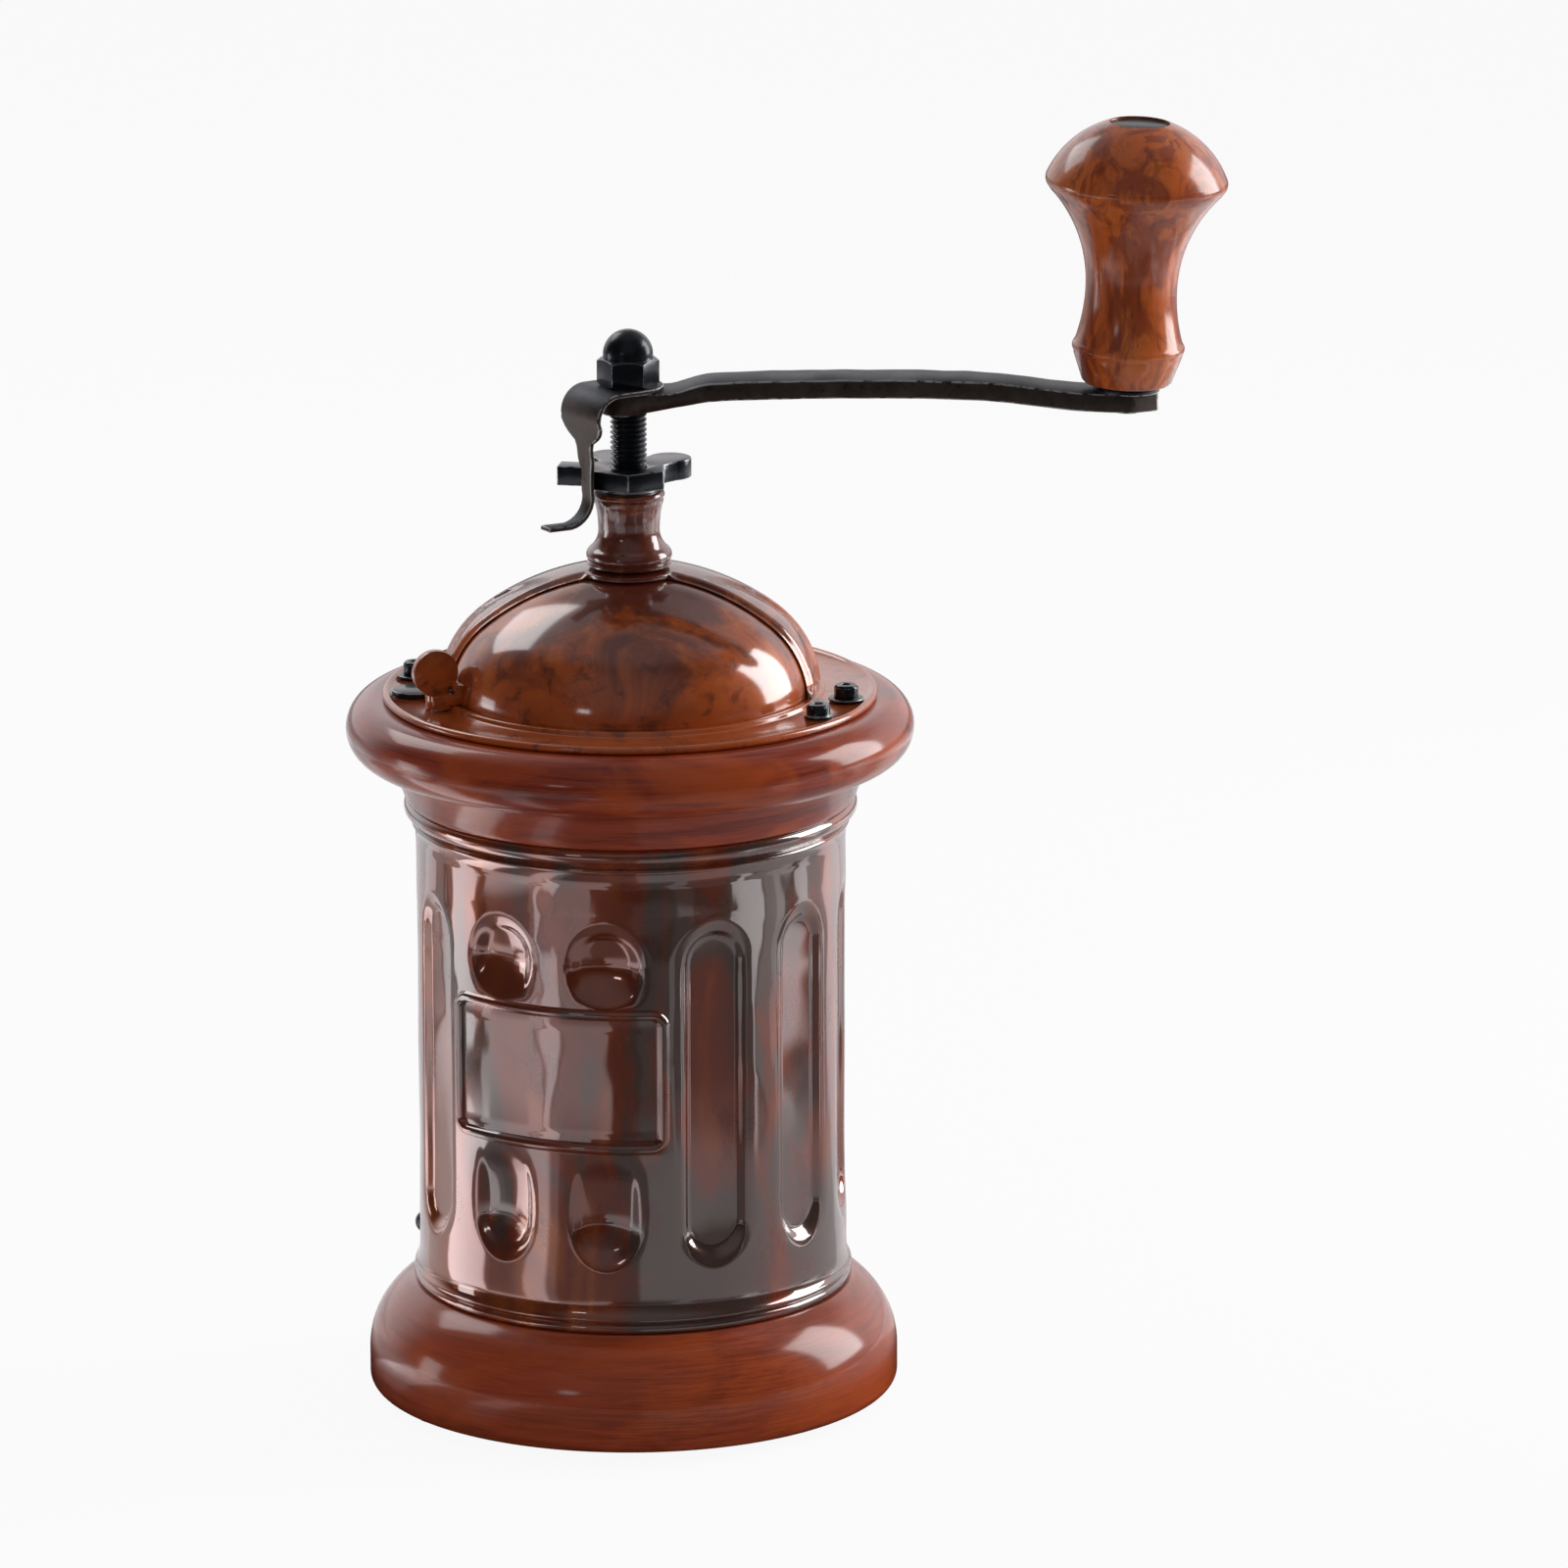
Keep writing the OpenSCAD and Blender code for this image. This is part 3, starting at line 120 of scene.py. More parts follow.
class GrinderColours(bpy.types.PropertyGroup):
    """Colours of the finishes, in linear light."""

    red_wood: bpy.props.FloatVectorProperty(
        name="Red wood", description="Lacquered wood of the base and collar",
        default=(0.38, 0.055, 0.022), subtype="COLOR")
    red_wood_dark: bpy.props.FloatVectorProperty(
        name="Red wood grain", description="Dark grain of the base and collar",
        default=(0.15, 0.017, 0.007), subtype="COLOR")
    knob_wood: bpy.props.FloatVectorProperty(
        name="Knob wood", description="Varnished wood of the knob",
        default=(0.62, 0.122, 0.018), subtype="COLOR")
    knob_wood_dark: bpy.props.FloatVectorProperty(
        name="Knob grain", description="Dark grain of the knob",
        default=(0.27, 0.038, 0.009), subtype="COLOR")
    lacquer: bpy.props.FloatVectorProperty(
        name="Lacquer", description="Brown lacquer over the pressed tin",
        default=(0.25, 0.040, 0.012), subtype="COLOR")
    lacquer_warm: bpy.props.FloatVectorProperty(
        name="Warm lacquer", description="Orange-brown patches of the canister's lacquer",
        default=(0.44, 0.100, 0.015), subtype="COLOR")
    # Grey-violet in streaks, mostly on the canister's right side and higher up, where it is a painted reflection.
    lacquer_cool_sheen: bpy.props.FloatVectorProperty(
        name="Cool lacquer", description="Grey-violet patches of the canister's lacquer",
        default=(0.115, 0.064, 0.050), subtype="COLOR")
    # Dark lacquer of the dome, also used as painted shade towards the dome's top and the neck.
    dome_dark_and_top_shade: bpy.props.FloatVectorProperty(
        name="Dome lacquer", description="Brown lacquer on the dome, neck and door",
        default=(0.15, 0.024, 0.008), subtype="COLOR")
    dome_warm: bpy.props.FloatVectorProperty(
        name="Warm dome lacquer", description="Orange patches on the dome, neck and door",
        default=(0.54, 0.100, 0.011), subtype="COLOR")
    black_steel: bpy.props.FloatVectorProperty(
        name="Black steel", description="Black oxide on screws and nuts",
        default=(0.022, 0.026, 0.033), subtype="COLOR")
    forged_iron: bpy.props.FloatVectorProperty(
        name="Forged iron", description="Brown-grey patina of the crank and clip",
        default=(0.066, 0.050, 0.043), subtype="COLOR")
    grey_iron: bpy.props.FloatVectorProperty(
        name="Grey iron", description="Bare cast iron of the mill",
        default=(0.16, 0.16, 0.165), subtype="COLOR")
    plain_steel: bpy.props.FloatVectorProperty(
        name="Plain steel", description="Zinc-plated steel", default=(0.52, 0.52, 0.53), subtype="COLOR")
    rubber: bpy.props.FloatVectorProperty(
        name="Rubber", description="Pads under the base", default=(0.050, 0.062, 0.085), subtype="COLOR")
    plug: bpy.props.FloatVectorProperty(
        name="Plug", description="Black plug in the knob", default=(0.010, 0.010, 0.011), subtype="COLOR")


def sizes():
    """The sizes, as the user set them."""
    return bpy.context.scene.grinder_sizes


def colours():
    """The colours, as the user set them."""
    return bpy.context.scene.grinder_colours


# Outlines

def arc(centre, radius, start, end, steps):
    """Points of an arc about a centre (x, z), from one angle in degrees to another."""
    points = []
    for step in range(steps + 1):
        angle = math.radians(start + (end - start) * step / steps)
        points.append((centre[0] + radius * math.cos(angle), centre[1] + radius * math.sin(angle)))
    return points


def rounded(corners, steps=5):
    """Points of a closed outline whose corners (x, z, round) are turned into arcs."""
    points = []
    for index, (x, z, radius) in enumerate(corners):
        here = Vector((x, z))
        before = Vector(corners[index - 1][:2]) - here
        after = Vector(corners[(index + 1) % len(corners)][:2]) - here
        if radius == 0:
            points.append((x, z))
            continue
        half = before.angle(after) / 2
        reach = min(radius / math.tan(half), 0.48 * before.length, 0.48 * after.length)
        middle = (before.normalized() + after.normalized()).normalized()
        centre = here + middle * reach / math.cos(half)
        first = here + before.normalized() * reach - centre
        last = here + after.normalized() * reach - centre
        turn = first.angle_signed(last)
        for step in range(steps + 1):
            angle = -turn * step / steps
            spoke = Matrix.Rotation(angle, 2) @ first
            points.append(tuple(centre + spoke))
    return points


def straight(start, end, steps):
    """Points from start to end, without the two ends themselves."""
    return [
        (start[0] + (end[0] - start[0]) * k / steps, start[1] + (end[1] - start[1]) * k / steps)
        for k in range(1, steps)
    ]


def ease(low_edge, high_edge, value):
    """0 below the low edge, 1 above the high edge and a smooth step between them."""
    t = min(1, max(0, (value - low_edge) / (high_edge - low_edge)))
    return t * t * (3 - 2 * t)


# Modelling with Blender's operators

def deselect():
    """Nothing is selected and no object is being edited."""
    bpy.ops.object.select_all(action="DESELECT")


def start_outline(name, points, fill="NOTHING"):
    """A circle whose vertices are set on the points of a closed outline, in millimetres."""
    deselect()
    bpy.ops.mesh.primitive_circle_add(vertices=len(points), radius=MM, fill_type=fill)
    piece = bpy.context.object
    piece.name = name
    piece.data.name = name
    for vertex, point in zip(piece.data.vertices, points):
        vertex.co = Vector(point) * MM
    return piece


def edit(piece):
    """Edit mode on one piece, with all of it selected."""
    deselect()
    piece.select_set(True)
    bpy.context.view_layer.objects.active = piece
    bpy.ops.object.mode_set(mode="EDIT")
    bpy.ops.mesh.select_all(action="SELECT")


def clean(piece):
    """Doubles merged and faces turned outwards, back in object mode."""
    bpy.ops.mesh.select_all(action="SELECT")
    bpy.ops.mesh.remove_doubles(threshold=MERGE)
    bpy.ops.mesh.delete_loose()
    bpy.ops.mesh.select_all(action="SELECT")
    bpy.ops.mesh.normals_make_consistent(inside=False)
    bpy.ops.object.mode_set(mode="OBJECT")
    return piece


def lathe(name, outline, steps=192):
    """A closed outline of points (radius, height) in millimetres, spun about the upright axis."""
    piece = start_outline(name, [(r, 0, z) for r, z in outline])
    edit(piece)
    bpy.ops.mesh.spin(steps=steps, angle=math.tau, center=(0, 0, 0), axis=(0, 0, 1))
    return clean(piece)


def slab(name, outline, thickness, place):
    """A closed outline of points (x, y) made a plate of a thickness, set by a matrix in millimetres."""
    piece = start_outline(name, [(x, y, 0) for x, y in outline], fill="NGON")
    edit(piece)
    bpy.ops.mesh.extrude_region_move(TRANSFORM_OT_translate={"value": (0, 0, thickness * MM)})
    clean(piece)
    to_place = place.copy()
    to_place.translation = place.translation * MM
    piece.matrix_world = to_place
    bpy.ops.object.transform_apply(location=True, rotation=True, scale=True)
    return piece


def loft(name, sections):
    """Closed rings of points in millimetres, joined one after another and capped at both ends."""
    piece = start_outline(name, sections[0], fill="NGON")
    edit(piece)
    for section in sections[1:]:
        bpy.ops.mesh.extrude_region_move(TRANSFORM_OT_translate={"value": (0, 0, 0)})
        mesh = bmesh.from_edit_mesh(piece.data)
        ring = [vertex for vertex in mesh.verts if vertex.select]
        for vertex, point in zip(ring, section):
            vertex.co = Vector(point) * MM
        bmesh.update_edit_mesh(piece.data)
    return clean(piece)


def sweep(name, sections):
    """Closed rings of points in millimetres, joined one after another and the last to the first."""
    piece = start_outline(name, sections[0])
    edit(piece)
    for section in sections[1:] + sections[:1]:
        bpy.ops.mesh.extrude_region_move(TRANSFORM_OT_translate={"value": (0, 0, 0)})
        mesh = bmesh.from_edit_mesh(piece.data)
        ring = [vertex for vertex in mesh.verts if vertex.select]
        for vertex, point in zip(ring, section):
            vertex.co = Vector(point) * MM
        bmesh.update_edit_mesh(piece.data)
    return clean(piece)


def join(pieces):
    """Several pieces made one, which keeps the first one's name."""
    deselect()
    for piece in pieces:
        piece.select_set(True)
    bpy.context.view_layer.objects.active = pieces[0]
    bpy.ops.object.join()
    return pieces[0]


def halve(piece, place, normal):
    """The part of a solid on the normal's far side is cut off and the cut closed."""
    edit(piece)
    bpy.ops.mesh.bisect(
        plane_co=Vector(place) * MM, plane_no=normal, use_fill=True, clear_inner=True, threshold=1e-6)
    return clean(piece)


def apply(piece, kind, **settings):
    """A modifier with these settings, applied at once."""
    deselect()
    piece.select_set(True)
    bpy.context.view_layer.objects.active = piece
    modifier = piece.modifiers.new(kind.title(), kind)
    for name, value in settings.items():
        setattr(modifier, name, value)
    bpy.ops.object.modifier_apply(modifier=modifier.name)
    return piece


def smooth(piece, angle=CRISP):
    """Smooth shading that keeps edges sharper than an angle."""
    deselect()
    piece.select_set(True)
    bpy.context.view_layer.objects.active = piece
    bpy.ops.object.shade_smooth_by_angle(angle=angle)
    return piece


def press(piece, depth):
    """Sheet pressed towards the upright axis by depth(angle, height, radius), all in millimetres."""
    for vertex in piece.data.vertices:
        x, y, z = vertex.co / MM
        radius = math.hypot(x, y)
        if radius > 0:
            factor = 1 - depth(math.atan2(y, x), z, radius) / radius
            vertex.co.x *= factor
            vertex.co.y *= factor
    piece.data.update()
    return piece


def refined(name, node, edge=None):
    """A copy of a CAD node with its triangles merged, its edges rounded and smooth shading."""
    deselect()
    source = frame["nodes"][node]
    source.select_set(True)
    bpy.context.view_layer.objects.active = source
    bpy.ops.object.duplicate()
    piece = bpy.context.object
    piece.name = name
    piece.parent = None
    piece.data.materials.clear()
    for key in [key for key in piece.keys() if key.startswith("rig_")]:
        del piece[key]
    edit(piece)
    bpy.ops.mesh.remove_doubles(threshold=MERGE)
    bpy.ops.mesh.select_all(action="SELECT")
    bpy.ops.mesh.dissolve_limited(angle_limit=math.radians(0.4))
    clean(piece)
    piece.data.materials.append(None)
    piece.data.materials.append(None)
    apply(piece, "BEVEL", width=sizes().edge if edge is None else edge * MM, segments=2,
          limit_method="ANGLE", angle_limit=math.radians(40), harden_normals=False, material=1)
    worn = piece.data.attributes.new("worn", "FLOAT", "FACE")
    worn.data.foreach_set("value", [float(face.material_index) for face in piece.data.polygons])
    piece.data.polygons.foreach_set("material_index", [0] * len(piece.data.polygons))
    piece.data.materials.clear()
    return smooth(piece)


def sliced(piece, axis, places):
    """More cross lines on a piece, cut at places along an axis in millimetres."""
    normal = Vector((0, 0, 0))
    normal[axis] = 1
    edit(piece)
    for place in places:
        bpy.ops.mesh.select_all(action="SELECT")
        bpy.ops.mesh.bisect(plane_co=normal * place * MM, plane_no=normal)
    bpy.ops.object.mode_set(mode="OBJECT")
    return piece


def moved(piece, shift):
    """Every vertex moved by shift(place), in millimetres."""
    for vertex in piece.data.vertices:
        vertex.co += Vector(shift(vertex.co / MM)) * MM
    piece.data.update()
    return piece


def finished(piece, body, finish, nodes=()):
    """The piece rides on its body, stands for its CAD nodes and takes its finish."""
    piece.data.materials.clear()
    piece.data.materials.append(finish)
    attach(piece, body)
    if nodes:
        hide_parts(*nodes)
    return piece


# Finishes

class Value:
    """A number in a material's nodes that Python's operators can be used on."""

    def __init__(self, finish, socket):
        self.finish = finish
        self.socket = socket

    def maths(self, operation, *values):
        return self.finish.node("ShaderNodeMath", {"operation": operation}, dict(enumerate(values)), 0)

    def __add__(self, other):
        return self.maths("ADD", self, other)

    def __radd__(self, other):
        return self.maths("ADD", other, self)

    def __sub__(self, other):
        return self.maths("SUBTRACT", self, other)

    def __rsub__(self, other):
        return self.maths("SUBTRACT", other, self)

    def __mul__(self, other):
        return self.maths("MULTIPLY", self, other)

    def __rmul__(self, other):
        return self.maths("MULTIPLY", other, self)

    def __truediv__(self, other):
        return self.maths("DIVIDE", self, other)

    def __pow__(self, other):
        return self.maths("POWER", self, other)

    def __abs__(self):
        return self.maths("ABSOLUTE", self)

    def clamp(self):
        """The number kept between 0 and 1."""
        return self.maths("MAXIMUM", self.maths("MINIMUM", self, 1), 0)

    def between(self, start, end):
        """0 at start, 1 at end and a smooth step between them."""
        settings = {"interpolation_type": "SMOOTHSTEP"}
        return self.finish.node("ShaderNodeMapRange", settings, {0: self, 1: start, 2: end}, 0)


class Nodes:
    """A node tree and the method that adds nodes to it."""

    def __init__(self, owner, output):
        owner.use_nodes = True
        self.tree = owner.node_tree
        self.tree.nodes.clear()
        self.output = output

    def node(self, kind, settings, inputs, output):
        """One node with its settings, its sockets' values or links, and one of its outputs."""
        node = self.tree.nodes.new(kind)
        for name, value in settings.items():
            setattr(node, name, value)
        for key, value in inputs.items():
            if isinstance(value, Value):
                self.tree.links.new(value.socket, node.inputs[key])
            elif value is not None:
                node.inputs[key].default_value = value
        return Value(self, node.outputs[output])

    def ray(self, name):
        """1 for one kind of ray and 0 for the others."""
        return self.node("ShaderNodeLightPath", {}, {}, name)

    def parts(self, vector):
        """The three parts of a vector."""
        return [self.node("ShaderNodeSeparateXYZ", {}, {0: vector}, index) for index in range(3)]

    def mix(self, factor, first, second):
        """The first colour where the factor is 0 and the second where it is 1."""
        inputs = {0: factor, 6: solid(first), 7: solid(second)}
        return self.node("ShaderNodeMix", {"data_type": "RGBA"}, inputs, 2)

    def close(self, shader):
        """The shader becomes the surface."""
        output = self.tree.nodes.new(self.output)
        self.tree.links.new(shader.socket, output.inputs["Surface"])


class Finish(Nodes):
    """A material with its object coordinates."""

    def __init__(self, name):
        self.material = bpy.data.materials.new(name)
        super().__init__(self.material, "ShaderNodeOutputMaterial")
        self.place = self.node("ShaderNodeTexCoord", {}, {}, "Object")

    def mapped(self, scale=(1, 1, 1), turn=(0, 0, 0), shift=(0, 0, 0)):
        """Object coordinates, moved, turned and scaled."""
        return self.node("ShaderNodeMapping", {}, {0: self.place, 1: shift, 2: turn, 3: scale}, 0)

    def noise(self, vector, scale, detail=3.0, roughness=0.5, twist=0.0):
        """Soft noise from 0 to 1 at a place."""
        inputs = {"Vector": vector, "Scale": scale, "Detail": detail, "Roughness": roughness,
                  "Distortion": twist}
        return self.node("ShaderNodeTexNoise", {}, inputs, 0)

    def bump(self, height, distance, strength=1.0):
        """A normal raised by a height that runs from 0 to 1, over a distance in millimetres."""
        inputs = {"Height": height, "Distance": distance * MM, "Strength": strength}
        return self.node("ShaderNodeBump", {}, inputs, 0)

    def worn(self, start, end):
        """1 on a piece's rounded edges where the wear has reached the metal, 0 elsewhere."""
        edges = self.node("ShaderNodeAttribute", {"attribute_name": "worn"}, {}, "Fac")
        return edges * self.noise(self.mapped(scale=(420, 420, 420)), 1.0, 3, 0.6).between(start, end)

    def surface(self, **inputs):
        """The principled shader on these sockets, linked to the output."""
        named = {key.replace("_", " ").title().replace("Ior", "IOR"): value for key, value in inputs.items()}
        named["Base Color"] = solid(named["Base Color"])
        shader = self.node("ShaderNodeBsdfPrincipled", {}, named, 0)
        self.close(shader)
        return self.material


def solid(colour):
    """A colour with full alpha; a linked colour passes through."""
    return colour if isinstance(colour, Value) else (*colour[:3], 1.0)


def red_wood():
    """Turned wood under a thick red-brown lacquer, its grain level, painted lighter low down as bounce light from the
    floor.
    """
    finish = Finish("red_wood")
    tint = colours()
    bend = finish.noise(finish.mapped(scale=(8, 8, 8)), 1.0, 2, 0.5)
    streaks = finish.noise(finish.mapped(scale=(12, 12, 230)), 1.0, 5, 0.6, 1.4)
    fine = finish.noise(finish.mapped(scale=(90, 90, 2200)), 1.0, 4, 0.65)
    cloud = finish.noise(finish.mapped(scale=(26, 26, 60)), 1.0, 4, 0.6, 0.8)
    grain = (streaks.between(0.34, 0.62) * 0.7 + fine.between(0.38, 0.66) * 0.3).clamp()
    # Painted light: below 50 mm the wood is mixed towards a lighter colour, painted bounce light from the floor on the
    # base.
    low = finish.parts(finish.place)[2].between(0.05, 0.03)
    base = finish.mix(low * 0.3, finish.mix(grain, tint.red_wood_dark, tint.red_wood), (0.60, 0.115, 0.035))
    warm = finish.mix(cloud.between(0.46, 0.66) * 0.6, base, (0.56, 0.095, 0.016))
    dark = finish.mix(bend.between(0.5, 0.7) * 0.30 * fine.between(0.6, 0.4), warm, (0.06, 0.008, 0.004))
    return finish.surface(
        base_color=dark, roughness=0.34 + cloud * 0.1, specular_ior_level=0.1,
        coat_weight=1.0, coat_roughness=0.13, coat_ior=1.46, normal=finish.bump(fine, 0.02, 0.4))


def knob_wood():
    """Turned wood with swirling upright grain under a satin varnish."""
    finish = Finish("knob_wood")
    tint = colours()
    swirl = finish.noise(finish.mapped(scale=(38, 38, 15)), 1.0, 3, 0.5, 2.2)
    bands = finish.noise(finish.mapped(scale=(95, 95, 22), shift=(0.3, 0.1, 0.6)), 1.0, 3, 0.5, 2.6)
    grain = finish.noise(finish.mapped(scale=(260, 260, 40)), 1.0, 4, 0.6, 1.2)
    pores = finish.noise(finish.mapped(scale=(1000, 1000, 90)), 1.0, 3, 0.6)
    warm = finish.mix(swirl.between(0.40, 0.64), tint.knob_wood, (0.62, 0.145, 0.022))
    red = finish.mix(bands.between(0.44, 0.60) * 0.75, warm, tint.knob_wood_dark)
    base = finish.mix(grain.between(0.48, 0.66) * 0.5, red, (0.17, 0.022, 0.006))
    dark = finish.mix(pores.between(0.60, 0.74) * 0.35, base, (0.08, 0.014, 0.004))
    return finish.surface(
        base_color=dark, roughness=0.40 + swirl * 0.08, specular_ior_level=0.15,
        coat_weight=1.0, coat_roughness=0.16, coat_ior=1.6, normal=finish.bump(pores, 0.02, 0.4))


def can_lacquer():
    """Clear brown lacquer on the pressed canister, streaked between red-brown, orange and grey-violet, the grey-violet
    leaning to the right side and upwards as a painted reflection.
    """
    finish = Finish("can_lacquer")
    tint = colours()
    streaks = finish.noise(finish.mapped(scale=(52, 52, 15)), 1.0, 3, 0.55, 0.9)
    patches = finish.noise(finish.mapped(scale=(75, 75, 48), shift=(0.7, 0.2, 0.4)), 1.0, 4, 0.6, 0.5)
    across, along, up = finish.parts(finish.place)
    # Streak noise leaned towards +x and upwards: grey-violet painted reflection on the right side and higher up, orange
    # patches towards the left and lower down.
    lean = streaks + across * 1.3 + (up - 0.08) * 0.4
    streaked_sheen = finish.mix(lean.between(0.46, 0.60), tint.lacquer, tint.lacquer_cool_sheen)
    warm = finish.mix(lean.between(0.48, 0.32) * 0.8, streaked_sheen, tint.lacquer_warm)
    dark = finish.mix(patches.between(0.54, 0.66) * 0.5, warm, (0.17, 0.022, 0.007))
    return finish.surface(
        base_color=dark, metallic=0.45, roughness=0.16 + patches.between(0.4, 0.7) * 0.16, specular_ior_level=0.3,
        coat_weight=1.0, coat_roughness=0.03, coat_ior=2.25)


def dome_lacquer():
    """Warmer lacquer on the dome, neck and door, mottled with dark flecks, with painted shade darkening it towards the
    top.
    """
    finish = Finish("dome_lacquer")
    tint = colours()
    clouds = finish.noise(finish.mapped(scale=(42, 42, 42), shift=(0.2, 0.5, 0.1)), 1.0, 5, 0.62, 0.6)
    flecks = finish.noise(finish.mapped(scale=(170, 170, 170)), 1.0, 4, 0.65, 0.4)
    fine = finish.noise(finish.mapped(scale=(800, 800, 800)), 1.0, 2, 0.6)
    up = finish.parts(finish.place)[2]
    # Painted shade: the clouds are pushed towards the dark lacquer as the height rises, so the dome darkens towards its
    # top.
    base = finish.mix((clouds + (up - 0.192) * 11).between(0.38, 0.62), tint.dome_warm, tint.dome_dark_and_top_shade)
    bright = finish.mix(flecks.between(0.50, 0.70) * clouds.between(0.60, 0.42) * 0.8, base, (0.55, 0.145, 0.020))
    dark = finish.mix(flecks.between(0.48, 0.32) * 0.6, bright, (0.07, 0.012, 0.004))
    return finish.surface(
        base_color=dark, metallic=0.15, roughness=0.40 + fine * 0.1, specular_ior_level=0.2,
        coat_weight=1.0, coat_roughness=0.11, coat_ior=1.95)


def black_steel():
    """Black oxide on steel, oily, worn to the metal on its edges."""
    finish = Finish("black_steel")
    stain = finish.noise(finish.mapped(scale=(180, 180, 180)), 1.0, 4, 0.6)
    oxide = finish.mix(stain.between(0.5, 0.8) * 0.6, colours().black_steel, (0.060, 0.064, 0.072))
    bare = finish.mix(finish.worn(0.34, 0.54) * 0.85, oxide, (0.50, 0.51, 0.53))
    return finish.surface(
        base_color=bare, metallic=0.8, roughness=0.24 + stain * 0.14, specular_ior_level=0.5,
        coat_weight=0.35, coat_roughness=0.12, normal=finish.bump(stain, 0.015, 0.3))


def forged_iron():
    """Hand-forged bar, brown-grey with hammer marks, scale and small pits, its edges rubbed bright, its upward faces
    painted blue-grey as a painted reflection of the sky.
    """
    finish = Finish("forged_iron")
    scale = finish.noise(finish.mapped(scale=(150, 150, 150)), 1.0, 5, 0.65)
    dents = finish.noise(finish.mapped(scale=(75, 75, 75)), 1.0, 2, 0.4)
    pits = finish.noise(finish.mapped(scale=(700, 700, 700)), 1.0, 3, 0.6)
    # Painted reflection: faces turned upwards get a darker blue-grey colour, standing in for the sky they reflect.
    up = finish.parts(finish.node("ShaderNodeTexCoord", {}, {}, "Normal"))[2].between(0.3, 0.8)
    side = finish.mix(scale.between(0.4, 0.7), colours().forged_iron, (0.095, 0.076, 0.066))
    base = finish.mix(up, side, (0.042, 0.047, 0.058))
    dark = finish.mix(pits.between(0.58, 0.72) * 0.7, base, (0.025, 0.022, 0.021))
    rubbed = finish.mix(finish.worn(0.36, 0.54) * 0.85, dark, (0.58, 0.57, 0.56))
    height = dents * 0.6 + scale * 0.2 + pits * 0.2
    return finish.surface(
        base_color=rubbed, metallic=0.7, roughness=0.38 + scale * 0.16, normal=finish.bump(height, 0.22, 0.8))


def plain_metal(name, colour, roughness):
    """Bare metal with faint stains."""
    finish = Finish(name)
    stain = finish.noise(finish.mapped(scale=(120, 120, 120)), 1.0, 4, 0.6)
    dull = finish.mix(stain.between(0.3, 0.8) * 0.5, colour, [value * 0.6 for value in colour])
    return finish.surface(
        base_color=dull, metallic=1.0, roughness=roughness + stain * 0.15,
        normal=finish.bump(stain, 0.015, 0.4))


def rubber():
    """Dull grey-blue rubber."""
    finish = Finish("pad_rubber")
    dust = finish.noise(finish.mapped(scale=(400, 400, 400)), 1.0, 3, 0.6)
    base = finish.mix(dust * 0.4, colours().rubber, (0.09, 0.10, 0.12))
    return finish.surface(base_color=base, roughness=0.75 + dust * 0.15, normal=finish.bump(dust, 0.03, 0.5))


def black_plug():
    """Black moulded plug, half dull."""
    finish = Finish("black_plug")
    grain = finish.noise(finish.mapped(scale=(900, 900, 900)), 1.0, 2, 0.5)
    base = finish.mix(grain * 0.3, colours().plug, (0.022, 0.022, 0.025))
    return finish.surface(base_color=base, roughness=0.20 + grain * 0.1, specular_ior_level=0.15,
        normal=finish.bump(grain, 0.01, 0.3))


FINISHES = {}


def finish_of(name):
    """A finish by name, made once."""
    if name not in FINISHES:
        makers = {
            "red_wood": red_wood,
            "knob_wood": knob_wood,
            "can_lacquer": can_lacquer,
            "dome_lacquer": dome_lacquer,
            "black_steel": black_steel,
            "forged_iron": forged_iron,
            "grey_iron": lambda: plain_metal("grey_iron", colours().grey_iron, 0.45),
            "plain_steel": lambda: plain_metal("plain_steel", colours().plain_steel, 0.28),
            "pad_rubber": rubber,
            "black_plug": black_plug,
        }
        FINISHES[name] = makers[name]()
    return FINISHES[name]


# Shapes of the pressed canister

def capsule_distance(across, up, half):
    """Distance from an upright segment of a half length, centred on zero."""
    return math.hypot(across, max(0, abs(up) - half))


def frame_distance(across, up, width, height, corner):
    """Distance outside a rounded rectangle, negative inside."""
    x = abs(across) - width / 2 + corner
    y = abs(up) - height / 2 + corner
    return math.hypot(max(x, 0), max(y, 0)) + min(max(x, y), 0) - corner


FLUTE_LOW = 15.2
FLUTE_LENGTH = 86.4
FLUTE_EDGE = 10.8
FLUTE_WALL = 8.7
FLUTE_FLOOR = 5.9
SPOON = 16.0
PLAQUE_WIDTH = 55.6
PLAQUE_HEIGHT = 36.0
PLAQUE_RISE = 62.6
PLAQUE_CORNER = 4.2
BEAD_WIDTH = 2.8
BEAD_SECTION = (
    (-1.2, -0.9), (-1.08, -0.2), (-0.92, 0.1), (-0.72, 0.58), (-0.42, 0.98), (0, 1.15),
    (0.42, 0.98), (0.72, 0.58), (0.92, 0.1), (1.08, -0.2), (1.2, -0.9),
)
PANEL_RECESS = 0.35
SCOOP_RAMP = 9.0
WALL_CROWDING = 0.5
# Rows of the wall above the ledge: start, end and number
FLUTE_ROWS = ((12.4, 27, 24), (27, 34, 5), (34, 45, 16), (45, 80, 12), (80, 91, 16), (91, 103.6, 22))


def flute_wall(distance):
    """Share of a flute's depth that its soft shoulder and its wall give at a distance from its middle."""
    shoulder = 0.12 * ease(0, FLUTE_EDGE - FLUTE_WALL + 0.8, FLUTE_EDGE - distance)
    return shoulder + 0.50 * ease(0, FLUTE_WALL - FLUTE_FLOOR, FLUTE_WALL - distance)


def flute_bowl(across, up, half):
    """Share of a flute's depth that its hollow floor gives, spoon-shaped towards the ends."""
    end = max(0, abs(up) - half + SPOON) / SPOON
    return 0.38 * max(0, 1 - (across / FLUTE_WALL) ** 2 - end ** 2)


